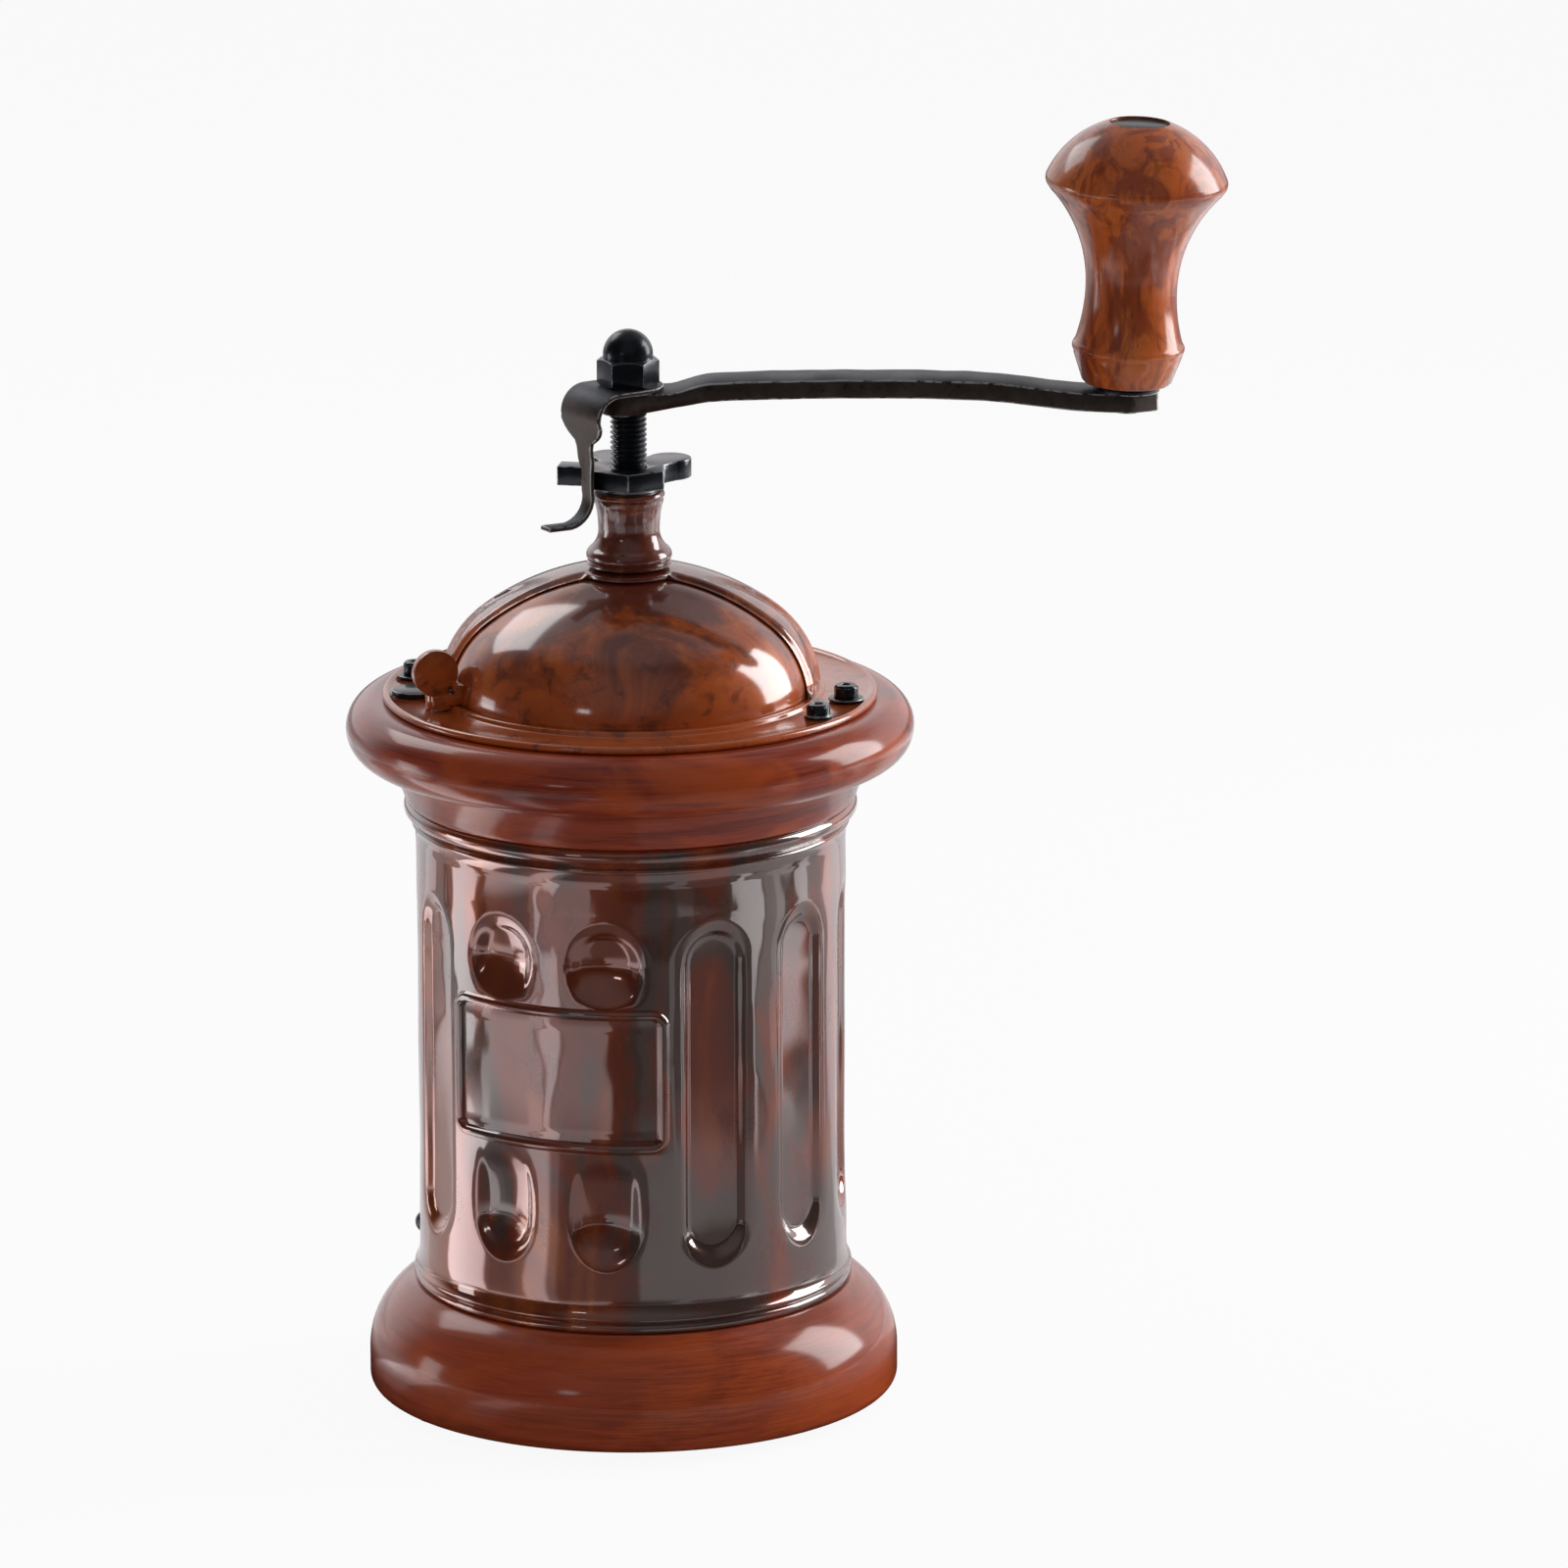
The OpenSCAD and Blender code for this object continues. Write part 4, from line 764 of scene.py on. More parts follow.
def ripple(angle, z):
    """Slight waves of the hand-pressed sheet."""
    place = Vector((2.2 * math.cos(angle), 2.2 * math.sin(angle), z / 26))
    return 0.17 * noise.noise(place) + 0.05 * noise.noise(place * 2.7)


def crowd_walls(piece):
    """Columns of the mesh moved round so that more of them fall on the flutes' walls."""
    s = sizes()
    step = math.tau / s.flute_count
    for vertex in piece.data.vertices:
        angle = math.atan2(vertex.co.y, vertex.co.x) - s.plaque_angle - step / 2
        move = WALL_CROWDING * step / (4 * math.pi) * math.sin(4 * math.pi * angle / step)
        vertex.co = Matrix.Rotation(move, 3, "Z") @ vertex.co
    return piece


def canister_depth(angle, z, radius):
    """How far the canister's sheet is pressed in at a place."""
    s = sizes()
    wall = s.can_radius / MM
    step = math.tau / s.flute_count
    press_in = s.flute_press / MM
    half = FLUTE_LENGTH / 2
    up = z - LEDGE - FLUTE_LOW - half
    turns = (angle - s.plaque_angle) / step - 0.5
    across = (turns - round(turns)) * step * wall
    waves = ripple(angle, z) * ease(0, 8, z - LEDGE - 6) * ease(0, 6, SEAT - 9 - z)
    walls = flute_wall(capsule_distance(across, up, half - FLUTE_EDGE))
    turned = angle_between(angle, s.plaque_angle)
    if abs(turned) >= step:
        return waves + press_in * (walls + flute_bowl(across, up, half))
    plaque_up = z - LEDGE - PLAQUE_RISE
    outside = frame_distance(wall * math.sin(turned), plaque_up, PLAQUE_WIDTH, PLAQUE_HEIGHT, PLAQUE_CORNER)
    near = abs(plaque_up) - PLAQUE_HEIGHT / 2
    far = half - (FLUTE_LOW + half - PLAQUE_RISE) * math.copysign(1, -plaque_up) - PLAQUE_HEIGHT / 2
    spoon = 0.95 * max(0, 1 - (across / 9.8) ** 2 - (2 * near / far - 1) ** 2) ** 1.3
    open_part = ease(0.2, SCOOP_RAMP, outside)
    recess = PANEL_RECESS * ease(BEAD_WIDTH * 0.3, BEAD_WIDTH, -outside)
    scoop = press_in * (walls * 0.6 * open_part + (spoon if near > 0 else 0))
    return waves * ease(-2, 3, outside) + scoop + recess


def plaque_frame(name):
    """The plaque's raised frame: a bead swept round a rounded rectangle on the canister's wall."""
    wall = sizes().can_radius / MM
    middle = LEDGE + PLAQUE_RISE
    inset = BEAD_WIDTH / 2
    x, z = PLAQUE_WIDTH / 2 - inset, PLAQUE_HEIGHT / 2 - inset
    corner = PLAQUE_CORNER - inset
    path = []
    for sx, sz, start in ((1, 1, 0), (-1, 1, 90), (-1, -1, 180), (1, -1, 270)):
        path += arc((sx * (x - corner), sz * (z - corner)), corner, start, start + 90, 8)
        following = {0: (-x + corner, z), 90: (-x, -z + corner), 180: (x - corner, -z), 270: (x, z - corner)}
        path += straight(path[-1], following[start], 22 if start in (0, 180) else 3)
    sections = []
    for index, (across, up) in enumerate(path):
        after = path[(index + 1) % len(path)]
        before = path[index - 1]
        along = Vector((after[0] - before[0], after[1] - before[1])).normalized()
        ring = []
        for side, rise in BEAD_SECTION:
            across_here = across + along.y * side * inset
            up_here = up - along.x * side * inset
            turn = sizes().plaque_angle + math.asin(across_here / wall)
            radius = wall + rise
            ring.append((radius * math.cos(turn), radius * math.sin(turn), middle + up_here))
        sections.append(ring)
    return sweep(name, sections)


def angle_between(first, second):
    """Signed angle from the second direction to the first, within half a turn."""
    return (first - second + math.pi) % math.tau - math.pi


# Dome outlines

def dome_line(offset, from_radius, low_z, steps=26):
    """Points up the dome's outside, taken in by an offset, from its foot to a radius near the axis."""
    s = sizes()
    foot = s.dome_radius / MM
    spread = foot - s.dome_height / MM
    shoulder = (1.5 * spread, FLANGE_TOP)
    shoulder_r = foot - 1.5 * spread - offset
    crown = (0, FLANGE_TOP - 2 * spread)
    crown_r = shoulder_r + 2.5 * spread
    meet = math.degrees(math.atan2(4, 3))
    end = math.degrees(math.acos(from_radius / crown_r))
    points = [(foot - offset, low_z)]
    points += arc(shoulder, shoulder_r, 0, meet, steps)
    points += arc(crown, crown_r, meet, end, steps)[1:]
    return points


def dome_shell(name, outer, inner, from_radius, low_z, steps):
    """A thin dome between two offsets."""
    outline = dome_line(outer, from_radius, low_z) + dome_line(inner, from_radius, low_z)[::-1]
    return lathe(name, outline, steps)


# Operators, one for each piece or group of like pieces

class Builder(bpy.types.Operator):
    """An operator that builds pieces and reports that it has finished."""

    bl_options = {"REGISTER", "UNDO"}

    def execute(self, context):
        self.build()
        return {"FINISHED"}


class GRINDER_OT_base(Builder):
    """Turned wooden base with its plug and bowl, and the rubber pads"""

    bl_idname = "grinder.base"
    bl_label = "Base"

    def build(self):
        side = 10.9
        foot = 2.6
        rim = 53.6
        plug = 50.9
        bowl = 46.0
        inward = BASE_R - rim
        upward = LEDGE - 0.4 - side
        curve = (inward ** 2 + upward ** 2) / (2 * inward)
        sweep = math.degrees(math.asin(upward / curve))
        outline = [(0, WOOD_LOW), (BASE_R - 8, WOOD_LOW)]
        outline += arc((BASE_R - foot, WOOD_LOW + 0.8 + foot), foot, -80, 0, 8)
        outline += arc((BASE_R - curve, side), curve, 0, sweep, 20)
        outline += [(rim - 0.4, LEDGE), (plug, LEDGE), (plug, PLUG_TOP - 0.6), (plug - 0.6, PLUG_TOP)]
        outline += [(bowl + 0.6, PLUG_TOP), (bowl, PLUG_TOP - 0.6)]
        outline += arc((bowl - 4, PLUG_TOP - 8.8), 4, 0, -90, 8)
        outline += [(0, PLUG_TOP - 12.8)]
        piece = smooth(lathe("wooden_base", outline, 256))
        finished(piece, "stand", finish_of("red_wood"), ["base"])
        pads = refined("rubber_pads", "base_pads")
        finished(pads, "stand", finish_of("pad_rubber"), ["base_pads"])


class GRINDER_OT_canister(Builder):
    """Pressed tin canister with flutes, a bare framed plaque and rolled rims, and its screws"""

    bl_idname = "grinder.canister"
    bl_label = "Canister"

    def build(self):
        s = sizes()
        wall = s.can_radius / MM
        inner = wall - s.wall / MM
        bead = 2.2
        bead_x = wall + 3 - bead - 0.1
        bead_z = SEAT - bead + 0.2
        outline = [(inner, LEDGE), (wall + 0.2, LEDGE)]
        outline += arc((wall - 0.3, LEDGE + 1.3), 1.3, -60, 62, 10)
        outline += arc((wall + 0.55, LEDGE + 3.6), 0.75, -70, 60, 7)
        outline += [(wall + 0.45, LEDGE + 5.2), (wall + 0.12, LEDGE + 7.4), (wall, LEDGE + 9.6)]
        outline += [(wall, LEDGE + 12.4)]
        for start, end, rows in FLUTE_ROWS:
            outline += straight((wall, LEDGE + start), (wall, LEDGE + end), rows) + [(wall, LEDGE + end)]
        outline += [(wall, SEAT - 10.6), (wall + 0.1, SEAT - 8.6)]
        outline += [(wall + 0.35, SEAT - 7.2)]
        outline += arc((wall + 0.35, SEAT - 5.9), 0.7, -40, 75, 7)
        outline += arc((bead_x, bead_z), bead, -66, 80, 14)
        outline += [(inner + 0.4, SEAT), (inner, SEAT - 0.4)]
        outline += straight((inner, SEAT - 0.4), (inner, LEDGE), 30)
        sheet = crowd_walls(lathe("pressed_canister", outline, 480))
        press(sheet, canister_depth)
        piece = smooth(join([sheet, plaque_frame("plaque_frame")]), math.radians(60))
        finished(piece, "stand", finish_of("can_lacquer"), ["canister"])
        screws = refined("canister_screws_black", "canister_screws")
        finished(screws, "stand", finish_of("black_steel"), ["canister_screws"])


class GRINDER_OT_collar(Builder):
    """Turned wooden collar on the canister's rim"""

    bl_idname = "grinder.collar"
    bl_label = "Collar"

    def build(self):
        bore = 43.0
        spigot = 50.6
        foot = 54.4
        neck = (58.5, SEAT + 9.3)
        bulge = 7.4
        centre = (COLLAR_R - bulge, COLLAR_TOP - bulge)
        cove = ((foot + neck[0]) / 2 - 0.7, (SEAT + neck[1]) / 2 + 0.3)
        outline = [(bore, SPIGOT_LOW), (spigot - 0.6, SPIGOT_LOW), (spigot, SPIGOT_LOW + 0.6), (spigot, SEAT)]
        outline += [(foot - 0.4, SEAT), (foot, SEAT + 0.4)]
        outline += curve_through((foot, SEAT + 0.4), cove, neck, 10)
        outline += [(neck[0] + 0.35, neck[1] + 0.15)]
        outline += arc(centre, bulge, -104, 90, 40)
        outline += [(49.4, COLLAR_TOP), (49.1, COLLAR_TOP - 0.4), (bore + 0.4, COLLAR_TOP - 0.4)]
        outline += [(bore, COLLAR_TOP - 0.8)]
        piece = smooth(lathe("wooden_collar", outline, 288))
        finished(piece, "head", finish_of("red_wood"), ["collar"])


def curve_through(start, middle, end, steps):
    """Points of a smooth curve from start to end that bends towards the middle, without its start."""
    points = []
    for step in range(1, steps + 1):
        t = step / steps
        weights = ((1 - t) ** 2, 2 * t * (1 - t), t * t)
        points.append(tuple(
            weights[0] * start[k] + weights[1] * middle[k] + weights[2] * end[k] for k in range(2)))
    return points


class GRINDER_OT_dome(Builder):
    """Fixed half-dome with its flange and rolled rim, and the hem the door runs in"""

    bl_idname = "grinder.dome"
    bl_label = "Dome cover"

    def build(self):
        front = 13.0
        sheet = 1.2
        half = dome_shell("dome_cover_sheet", 0, sheet, 7.05, FLANGE_TOP - 0.2, 288)
        press_down(half, crescent_depth)
        moved(half, lambda place: (0, -seam_bow(place.x), 0))
        halve(half, (0, -front, 0), (0, 1, 0))
        moved(half, lambda place: (0, seam_bow(place.x), 0))
        hub = lathe("hub_ring", rounded([
            (7.05, FLANGE_TOP + 29.75, 0), (11.5, FLANGE_TOP + 29.0, 0.2), (11.5, FLANGE_TOP + 30.1, 0.3),
            (7.05, FLANGE_TOP + 30.8, 0)]), 96)
        rim = FLANGE_R - 1.0
        hem = 44.8
        plate = [(hem, FLANGE_TOP - 0.8), (rim - 0.7, FLANGE_TOP - 0.8)]
        plate += arc((rim, COLLAR_TOP + 1.0), 0.98, -120, 140, 14)
        plate += [(rim - 1.6, FLANGE_TOP), (48.2, FLANGE_TOP)]
        plate += arc((47.6, FLANGE_TOP + 0.6), 0.6, -90, -180, 4)
        plate += arc((46.4, FLANGE_TOP + 0.7), 0.5, 0, 90, 4)
        plate += arc((45.4, FLANGE_TOP + 0.6), 0.6, 90, 180, 5)
        flange = lathe("flange_sheet", plate, 288)
        piece = smooth(join([half, hub, flange]))
        finished(piece, "head", finish_of("dome_lacquer"), ["dome_cover"])


def seam_bow(x):
    """How far the fixed half's front edge bows back from its plane, in millimetres."""
    return 7.0 * max(0, 1 - (x / 45) ** 2) - 0.033 * x


def press_down(piece, depth):
    """Dome sheet pushed towards the axis by depth(x, y, z), in millimetres, across its outside."""
    centre = Vector((0, 0, FLANGE_TOP - 15))
    outside = dome_line(0, 7.05, FLANGE_TOP)
    for vertex in piece.data.vertices:
        x, y, z = vertex.co / MM
        radius = math.hypot(x, y)
        if z > FLANGE_TOP and min(math.dist(point, (radius, z)) for point in outside) < 0.55:
            inward = (centre - vertex.co / MM).normalized()
            vertex.co += inward * depth(x, y, z) * MM
    piece.data.update()
    return piece


def crescent_depth(x, y, z):
    """Depth of the two sunken crescents beside the border band, whose own edge rolls down to the door."""
    front = -13.0
    band = 2.9
    side = (abs(x) - 34.5) ** 2 + (y - front - 4) ** 2
    inside = 16.5 - math.sqrt(side)
    along = y - front - seam_bow(x)
    sunk = 0.95 * ease(0, 1.4, min(inside, along - band))
    roll = 1.05 * (1 - ease(-0.2, 2.4, along)) * ease(9, 12, abs(x))
    return (sunk + roll) * ease(FLANGE_TOP + 0.8, FLANGE_TOP + 4, z)


class GRINDER_OT_door(Builder):
    """Sliding door under the fixed half-dome, with its finger tab and rivet"""

    bl_idname = "grinder.door"
    bl_label = "Door"

    def build(self):
        shell = dome_shell("door_sheet", 1.5, 2.3, 7.06, low("door").z, 288)
        halve(shell, (0, -1.5, 0), (0, -1, 0))
        ring_r = 11.0
        ring_top = FLANGE_TOP + 29.3
        hub = lathe("door_hub", [
            (7.06, ring_top - 0.85), (ring_r, ring_top - 1.45), (ring_r, ring_top - 0.65), (7.06, ring_top - 0.05)], 96)
        piece = smooth(join([shell, hub]))
        finished(piece, "door_unit", finish_of("dome_lacquer"), ["door"])
        tab = refined("finger_tab", "door_tab", 0.5)
        finished(tab, "door_unit", finish_of("dome_lacquer"), ["door_tab"])
        rivet = refined("finger_tab_rivet", "tab_rivet")
        finished(rivet, "door_unit", finish_of("plain_steel"), ["tab_rivet"])


class GRINDER_OT_neck(Builder):
    """Waisted neck on the dome, its nut and the thrust washer"""

    bl_idname = "grinder.neck"
    bl_label = "Neck"

    def build(self):
        foot = FLANGE_TOP + sizes().dome_height / MM
        bore = 4.46
        pivot = 7.0
        journal = NECK_LOW + 4.0
        outline = [(bore, NECK_LOW), (pivot - 1, NECK_LOW), (pivot - 1, journal), (pivot, journal), (pivot, foot)]
        outline += [(9.9, foot), (10.1, foot + 0.2), (10.1, foot + 0.5), (9.6, foot + 0.7)]
        outline += arc((8.2, foot + 2.4), 2.1, -50, 60, 12)
        outline += curve_through((9.25, foot + 4.22), (7.1, foot + 6.4), (7.4, foot + 9.4), 9)
        outline += curve_through((7.4, foot + 9.4), (7.5, foot + 13.2), (8.35, foot + 15.6), 8)
        outline += arc((7.7, NECK_TOP - 0.95), 0.95, -50, 90, 8)
        outline += [(bore + 0.4, NECK_TOP), (bore, NECK_TOP - 0.4)]
        piece = smooth(lathe("neck_bushing", outline, 160))
        finished(piece, "head", finish_of("dome_lacquer"), ["neck"])
        for name, node, finish in (
            ("neck_clamp_nut", "neck_nut", "plain_steel"),
            ("thrust_ring", "thrust_washer", "plain_steel"),
        ):
            finished(refined(name, node), "head", finish_of(finish), [node])


class GRINDER_OT_flange_hardware(Builder):
    """Screws and washers on the flange, the stop screw and the stop plate"""

    bl_idname = "grinder.flange_hardware"
    bl_label = "Flange hardware"

    def build(self):
        for name, node in (
            ("flange_screws_black", "flange_screws"),
            ("round_washers", "screw_washers"),
            ("stop_screw_black", "stop_screw"),
            ("stop_plate_black", "stop_plate"),
        ):
            finished(refined(name, node), "head", finish_of("black_steel"), [node])


class GRINDER_OT_mill(Builder):
    """Hopper funnel, mill frame, bridge and burrs inside"""

    bl_idname = "grinder.mill"
    bl_label = "Mill"

    def build(self):
        for name, node, body, finish in (
            ("funnel_sheet", "hopper_funnel", "head", "plain_steel"),
            ("mill_casting", "mill_frame", "head", "grey_iron"),
            ("mill_screws", "frame_screws", "head", "plain_steel"),
            ("burr_ring", "outer_burr", "head", "grey_iron"),
            ("spindle_bridge", "bearing_bridge", "head", "grey_iron"),
            ("burr_cone", "inner_burr", "crank", "grey_iron"),
            ("burr_clamp_nut", "burr_nut", "crank", "plain_steel"),
        ):
            finished(refined(name, node), body, finish_of(finish), [node])


class GRINDER_OT_nut(Builder):
    """Adjusting nut with three fingers"""

    bl_idname = "grinder.nut"
    bl_label = "Adjusting nut"

    def build(self):
        piece = refined("fingered_nut", "adjusting_nut", 0.6)
        finished(piece, "nut", finish_of("black_steel"), ["adjusting_nut"])


class GRINDER_OT_spindle(Builder):
    """Spindle with its cut thread"""

    bl_idname = "grinder.spindle"
    bl_label = "Spindle"

    def build(self):
        shaft = 4.0
        root = 3.75
        crest = 4.38
        thread_low = NECK_TOP - 2
        thread_high = high("crank_arm").z - 9.6
        pitch = sizes().thread_pitch / MM
        outline = [(0, low("spindle").z), (shaft, low("spindle").z), (shaft, thread_low - 22)]
        outline += [(crest, thread_low - 21.5), (crest, thread_low), (root, thread_low + 0.3)]
        outline += [(root, thread_high), (shaft - 0.2, thread_high), (shaft - 0.2, high("spindle").z)]
        outline += [(0, high("spindle").z)]
        core = lathe("threaded_spindle", outline, 64)
        turns = int((thread_high - thread_low) / pitch)
        profile = [(root - 0.05, 0), (crest, pitch * 0.38), (crest, pitch * 0.52), (root - 0.05, pitch * 0.9)]
        thread = start_outline("thread", [(r, 0, thread_low + z) for r, z in profile])
        apply(thread, "SCREW", axis="Z", angle=math.tau, screw_offset=pitch * MM, iterations=turns,
              steps=48, render_steps=48, use_merge_vertices=False)
        edit(thread)
        bpy.ops.mesh.select_all(action="DESELECT")
        bpy.ops.mesh.select_non_manifold(extend=False)
        bpy.ops.mesh.edge_face_add()
        clean(thread)
        piece = smooth(join([core, thread]))
        finished(piece, "crank", finish_of("black_steel"), ["spindle"])


def arm_shift(place):
    """Forging of the arm: its underside rises evenly from the hub, and its faces wave a little."""
    top = high("lock_clip").z - 1.1
    line = max(0, top - 5.9 + 0.187 * (place.x + 2.6) - place.z) if -2.6 < place.x < 19 else 0
    depth = min(1, max(0, (top + 2.4 * ease(8, 20, place.x) - place.z) / 3))
    wave = 0.16 * noise.noise(Vector((place.x / 6, place.y, place.z / 3)))
    side = 0.14 * noise.noise(Vector((place.x / 5, place.y / 4 + 7, 0)))
    free = ease(7, 12, place.x) * ease(108, 100, place.x)
    return (0, side * free, line * depth + wave * free)


def clip_shift(place):
    """The clip's leg is wider between its shoulder and the nut than the leaf that lies on the nut."""
    across = Vector((0.53, -0.848, 0))
    top = high("lock_clip").z
    wide = ease(top - 7, top - 12, place.z) * ease(NUT_TOP + 0.3, NUT_TOP + 2.2, place.z)
    return across * place.dot(across) * 0.48 * wide


class GRINDER_OT_crank(Builder):
    """Forged crank arm, the lock clip, the cap nut and the knob's pin and washer"""

    bl_idname = "grinder.crank"
    bl_label = "Crank"

    def build(self):
        arm = refined("forged_arm", "crank_arm", 0.6)
        sliced(arm, 0, [-2.6] + [2.6 * k for k in range(48)])
        moved(arm, arm_shift)
        finished(arm, "crank", finish_of("forged_iron"), ["crank_arm"])
        clip = refined("lock_clip_leaf", "lock_clip", 0.25)
        sliced(clip, 2, [high("lock_clip").z - 6 - k for k in range(12)])
        moved(clip, clip_shift)
        finished(clip, "crank", finish_of("forged_iron"), ["lock_clip"])
        cap = refined("domed_cap_nut", "cap_nut", 0.36)
        cap.rotation_euler.z = math.radians(-15)
        bpy.ops.object.transform_apply(location=False, rotation=True, scale=False)
        finished(cap, "crank", finish_of("black_steel"), ["cap_nut"])
        pin = refined("knob_rivet_pin", "knob_pin", 0.3)
        finished(pin, "crank", finish_of("black_steel"), ["knob_pin"])
        washer = refined("knob_washer_black", "knob_washer", 0.3)
        finished(washer, "crank", finish_of("black_steel"), ["knob_washer"])


class GRINDER_OT_knob(Builder):
    """Turned wooden knob on its leaning pin, and the black plug"""

    bl_idname = "grinder.knob"
    bl_label = "Knob"

    def build(self):
        outline = [(3.06, 0), (10.2, 0), (10.8, 0.6), (13.0, 6.8)]
        outline += arc((11.8, 8.7), 1.7, -40, 40, 8)
        outline += [(12.8, 10.4)]
        outline += tangent_arc((12.8, 10.4), (10.95, 23.0), 14)
        outline += tangent_arc((20.6, 46.7), (10.95, 23.0), 18)[::-1][1:]
        outline += arc((19.3, 49.2), 2.5, -40, 32, 9)
        outline += arc((0, 40.9), 23.5, 24, 72, 22)
        outline += [(7.6, 62.9), (7.45, 62.5), (7.45, 59.8), (5.5, 59.8), (5.5, 49.7), (3.06, 49.7)]
        piece = smooth(lathe("turned_knob", outline, 160))
        lean = frame_joint("knob_spin")
        turn = Vector((0, 0, 1)).rotation_difference(Vector(lean["axis"])).to_matrix().to_4x4()
        seat = Vector(lean["pos_m"]) + Vector(lean["axis"]) * (high_of_washer() * MM)
        piece.matrix_world = Matrix.Translation(seat) @ turn
        bpy.ops.object.transform_apply(location=True, rotation=True, scale=True)
        finished(piece, "handle", finish_of("knob_wood"), ["knob"])
        plug = refined("black_plug_disc", "knob_plug", 0.4)
        finished(plug, "handle", finish_of("black_plug"), ["knob_plug"])


def high_of_washer():
    """Thickness of the washer that the knob rests on."""
    return 1.9


def tangent_arc(edge, waist, steps):
    """Points of the arc that is upright at the waist and ends at the edge, from the edge to the waist."""
    inward = edge[0] - waist[0]
    upward = edge[1] - waist[1]
    radius = (inward ** 2 + upward ** 2) / (2 * inward)
    sweep = math.degrees(math.asin(upward / radius))
    return arc((waist[0] + radius, waist[1]), radius, 180 - sweep, 180, steps)


def frame_joint(name):
    """One joint of the CAD frame by its name."""
    return next(joint for joint in frame["joints"] if joint["name"] == name)


# Stage

class GrinderStage(bpy.types.PropertyGroup):
    """Camera and lamps."""

    camera_height: bpy.props.FloatProperty(
        name="Camera height", description="Height of the camera over the table", default=0.8814, unit="LENGTH")
    camera_distance: bpy.props.FloatProperty(
        name="Camera distance", description="Distance of the camera in front", default=2.8, unit="LENGTH")
    aim: bpy.props.FloatVectorProperty(
        name="Aim", description="Place the camera looks at", default=(0.037, 0, 0.1514), unit="LENGTH")
    view_angle: bpy.props.FloatProperty(
        name="View angle", description="Camera's field of view",
        default=2 * math.atan(800 / 12250), subtype="ANGLE")
    roll: bpy.props.FloatProperty(
        name="Roll", description="Camera's roll", default=math.radians(-0.15), subtype="ANGLE")


# Name, direction from the camera's side in degrees, elevation, distance, width and height, radiance
LAMPS = (
    ("left_low_lamp", -96, -4, 0.85, (0.18, 0.28), 2.6),
    ("left_back_lamp", -138, 42, 1.25, (0.62, 0.46), 2.8),
    ("right_lamp", 106, 20, 1.10, (0.55, 0.80), 6.5),
    ("front_left_lamp", -28, 14, 1.60, (0.20, 0.12), 3.0),
)


# Direction from the camera's side in degrees, elevation, inner and outer half angle, strength
GLOWS = (
    (180, 74, 20, 42, 0.20),
    (0, 42, 12, 46, 0.12),
    (-150, 30, 10, 42, 0.25),
    (128, 32, 10, 40, 0.30),
)


def direction(azimuth, elevation):
    """Unit vector at an azimuth from the camera's side and an elevation, both in degrees."""
    turn, rise = math.radians(azimuth), math.radians(elevation)
    return Vector((math.sin(turn) * math.cos(rise), -math.cos(turn) * math.cos(rise), math.sin(rise)))


def area_lamp(name, azimuth, elevation, distance, size, radiance):
    """A soft rectangular lamp aimed at the mill."""
    aim = Vector((0, 0, 0.14))
    place = aim + distance * direction(azimuth, elevation)
    deselect()
    bpy.ops.object.light_add(type="AREA", location=place)
    lamp = bpy.context.object
    lamp.name = name
    lamp.data.shape = "RECTANGLE"
    lamp.data.size, lamp.data.size_y = size
    lamp.data.energy = math.pi * size[0] * size[1] * radiance
    lamp.visible_camera = False
    lamp.rotation_euler = (Vector(aim) - Vector(place)).to_track_quat("-Z", "Y").to_euler()
    return lamp


# Direction from the camera's side, half width in degrees and level of the table's strips, near and far
NEAR_STRIPS = (
    (-16, 20, 0.20), (-47, 6, 2.2), (-66, 7, 0.5), (-90, 13, 5.2), (-118, 13, 0.9), (-150, 24, 1.2),
    (140, 14, 1.1), (172, 24, 0.8),
)
FAR_STRIPS = (
    (-8, 8, 0.08), (-28, 12, 1.1), (-44, 3, 3.0), (-64, 16, 2.2), (-96, 9, 3.8), (-114, 6, 0.7), (-132, 10, 1.6),
    (-156, 14, 1.1), (28, 5, 0.6), (54, 3, 0.1), (62, 4, 1.8), (76, 7, 0.5), (88, 6, 0.8), (95, 2.5, 0.05),
    (104, 5, 1.2), (115, 6, 0.4), (134, 13, 1.1), (170, 22, 0.9),
)


def strips(turn, level, table):
    """The level of each strip where a direction falls in it, and the first level elsewhere."""
    for middle, reach, shade in table:
        level = level + abs(turn - middle).between(reach + 1.5, reach - 1.5) * (shade - level)
    return level


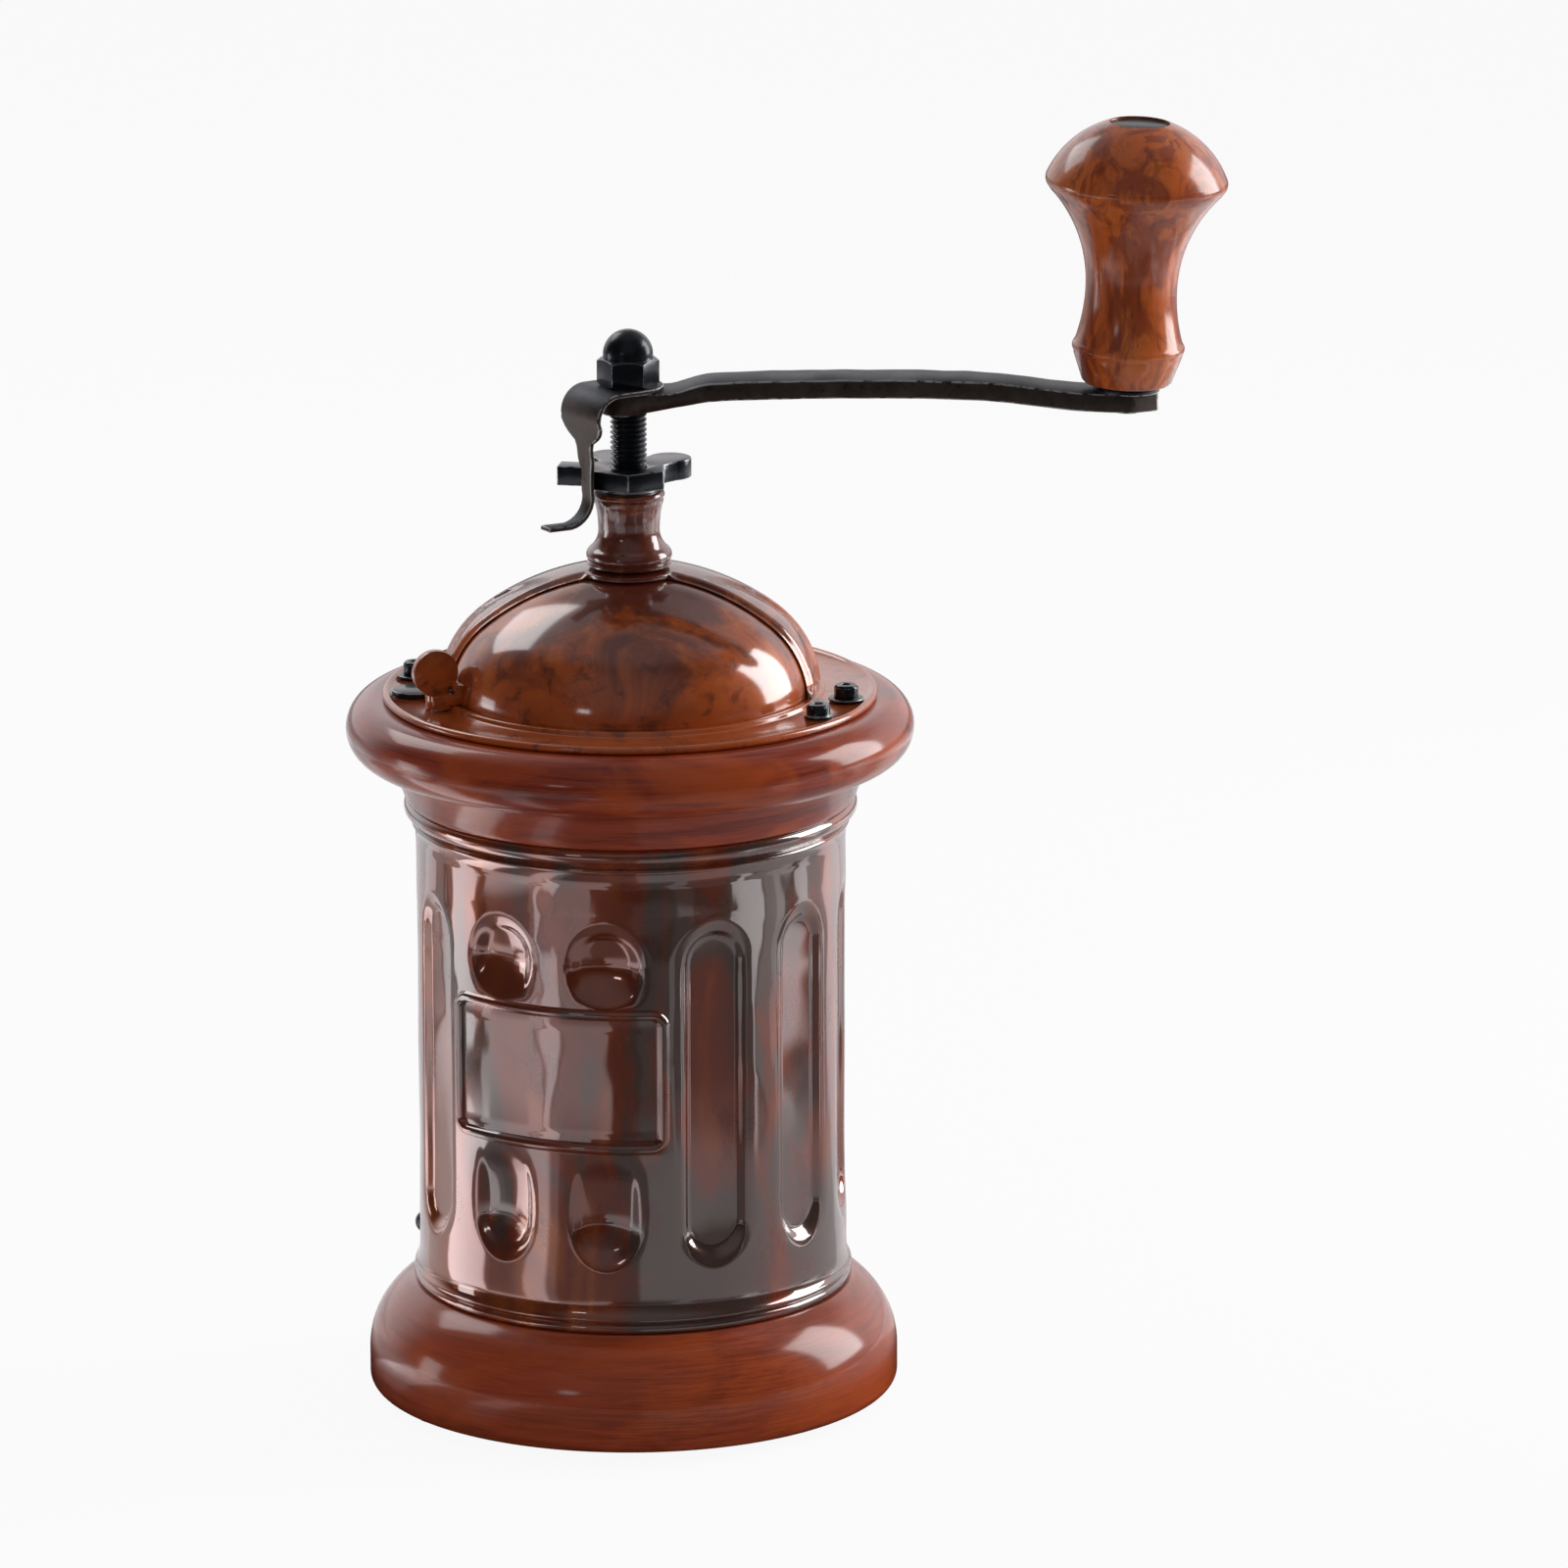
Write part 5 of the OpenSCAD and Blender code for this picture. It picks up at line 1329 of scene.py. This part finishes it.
def floor_finish():
    """White floor with a shadow; glossy surfaces see it as a table with bright and dark strips round them, darkened by
    painted shade close round the mill.
    """
    finish = Finish("floor_white")
    across, along, up = finish.parts(finish.place)
    away = (across * across + along * along) ** 0.5
    turn = finish.node("ShaderNodeMath", {"operation": "ARCTAN2"}, {0: across, 1: along * -1}, 0) * (180 / math.pi)
    waves = finish.noise(finish.mapped(scale=(7, 7, 7)), 1.0, 2, 0.5)
    bent = turn + (waves - 0.5) * 46 * away.between(0.16, 0.36)
    near = strips(turn, 0.62, NEAR_STRIPS)
    far = strips(bent, 0.17, FAR_STRIPS)
    wedge = abs(away - 0.49 - bent * 0.0005).between(0.030, 0.012) * bent.between(-12, 0) * bent.between(64, 48)
    brown = away.between(0.46, 0.50) * bent.between(-88, -80) * bent.between(-44, -52)
    far = far * (1 - 0.85 * wedge) * (1 - 0.85 * brown)
    level = near + away.between(0.26, 0.36) * (far - near)
    level = level + 0.45 * away.between(0.54, 0.60) * away.between(0.78, 0.68)
    front = abs(turn).between(72, 58)
    # Painted shade: the table seen by glossy surfaces darkens within 0.12 m of the axis; it also fades out far in
    # front.
    level = level * away.between(0.072, 0.12) * (1 - 0.92 * front * away.between(0.66, 0.80)) + 0.01
    lit = finish.node("ShaderNodeVectorMath", {"operation": "SCALE"}, {0: (1, 0.98, 1), "Scale": level}, 0)
    shade = finish.mix(finish.ray("Is Glossy Ray"), (0.85, 0.85, 0.85), lit)
    white = finish.node("ShaderNodeBsdfDiffuse", {}, {"Color": shade}, 0)
    bright = finish.node("ShaderNodeEmission", {}, {"Color": (1, 1, 1, 1), "Strength": 1.0}, 0)
    shown = finish.ray("Is Camera Ray") * 0.93
    finish.close(finish.node("ShaderNodeMixShader", {}, {0: shown, 1: white, 2: bright}, 0))
    return finish.material


class GRINDER_OT_stage(Builder):
    """White floor, soft studio lamps, world and the camera"""

    bl_idname = "grinder.stage"
    bl_label = "Stage"

    def build(self):
        stage = bpy.context.scene.grinder_stage
        deselect()
        bpy.ops.mesh.primitive_plane_add(size=12, location=(0, 0, 0))
        floor = bpy.context.object
        floor.name = "floor"
        floor.data.materials.append(floor_finish())
        for lamp in LAMPS:
            area_lamp(*lamp)
        self.world()
        self.camera(stage)
        scene = bpy.context.scene
        scene.view_settings.view_transform = "Standard"

    def world(self):
        """Plain world: white to the camera, dark with soft glows to glossy surfaces, pale as light."""
        world = bpy.data.worlds.new("studio")
        bpy.context.scene.world = world
        nodes = Nodes(world, "ShaderNodeOutputWorld")
        towards = nodes.node("ShaderNodeNewGeometry", {}, {}, "Incoming")
        back, rise = nodes.parts(towards)[1:]
        glow = 0.02 + 0.8 * back.between(-0.35, -0.75) * rise.between(-0.60, -0.40)
        for azimuth, elevation, inner, outer, strength in GLOWS:
            facing = nodes.node(
                "ShaderNodeVectorMath", {"operation": "DOT_PRODUCT"}, {0: towards, 1: -direction(azimuth, elevation)},
                "Value")
            near, far = math.cos(math.radians(inner)), math.cos(math.radians(outer))
            glow = glow + strength * facing.between(far, near)
        reflected = nodes.mix(glow, (0, 0, 0), (1.0, 0.96, 0.98))
        pale = nodes.mix(nodes.ray("Is Glossy Ray"), (0.26, 0.26, 0.265), reflected)
        shown = nodes.mix(nodes.ray("Is Camera Ray"), pale, (1, 1, 1))
        nodes.close(nodes.node("ShaderNodeBackground", {}, {"Color": shown}, 0))

    def camera(self, stage):
        """Camera at the photograph's viewing angle."""
        aim = Vector(stage.aim)
        place = Vector((aim.x, -stage.camera_distance, stage.camera_height))
        deselect()
        bpy.ops.object.camera_add(location=place)
        camera = bpy.context.object
        camera.name = "camera"
        camera.data.sensor_width = 36
        camera.data.lens = 36 / (2 * math.tan(stage.view_angle / 2))
        look = (aim - place).to_track_quat("-Z", "Y").to_matrix()
        camera.rotation_euler = (look @ Matrix.Rotation(stage.roll, 3, "Z")).to_euler()
        camera.data.clip_start = 0.1
        bpy.context.scene.camera = camera


class GRINDER_PT_panel(bpy.types.Panel):
    """The grinder's pieces, sizes, colours and stage"""

    bl_idname = "GRINDER_PT_panel"
    bl_label = "Coffee grinder"
    bl_space_type = "VIEW_3D"
    bl_region_type = "UI"
    bl_category = "Grinder"

    def draw(self, context):
        for operator in OPERATORS:
            self.layout.operator(operator.bl_idname)
        for group in (context.scene.grinder_sizes, context.scene.grinder_colours, context.scene.grinder_stage):
            for name in group.bl_rna.properties.keys():
                if name not in ("rna_type", "name"):
                    self.layout.prop(group, name)


OPERATORS = (
    GRINDER_OT_base, GRINDER_OT_canister, GRINDER_OT_collar, GRINDER_OT_dome, GRINDER_OT_door,
    GRINDER_OT_neck, GRINDER_OT_flange_hardware, GRINDER_OT_mill, GRINDER_OT_nut, GRINDER_OT_spindle,
    GRINDER_OT_crank, GRINDER_OT_knob, GRINDER_OT_stage,
)
CLASSES = (GrinderSizes, GrinderColours, GrinderStage, *OPERATORS, GRINDER_PT_panel)


def register():
    """Classes registered and the settings added to the scene."""
    for item in CLASSES:
        bpy.utils.register_class(item)
    bpy.types.Scene.grinder_sizes = bpy.props.PointerProperty(type=GrinderSizes)
    bpy.types.Scene.grinder_colours = bpy.props.PointerProperty(type=GrinderColours)
    bpy.types.Scene.grinder_stage = bpy.props.PointerProperty(type=GrinderStage)


def unregister():
    """Classes and settings removed."""
    del bpy.types.Scene.grinder_sizes
    del bpy.types.Scene.grinder_colours
    del bpy.types.Scene.grinder_stage
    for item in reversed(CLASSES):
        bpy.utils.unregister_class(item)


def main():
    """Every piece built in order."""
    register()
    for operator in OPERATORS:
        group, name = operator.bl_idname.split(".")
        getattr(getattr(bpy.ops, group), name)()


if __name__ == "__main__":
    main()
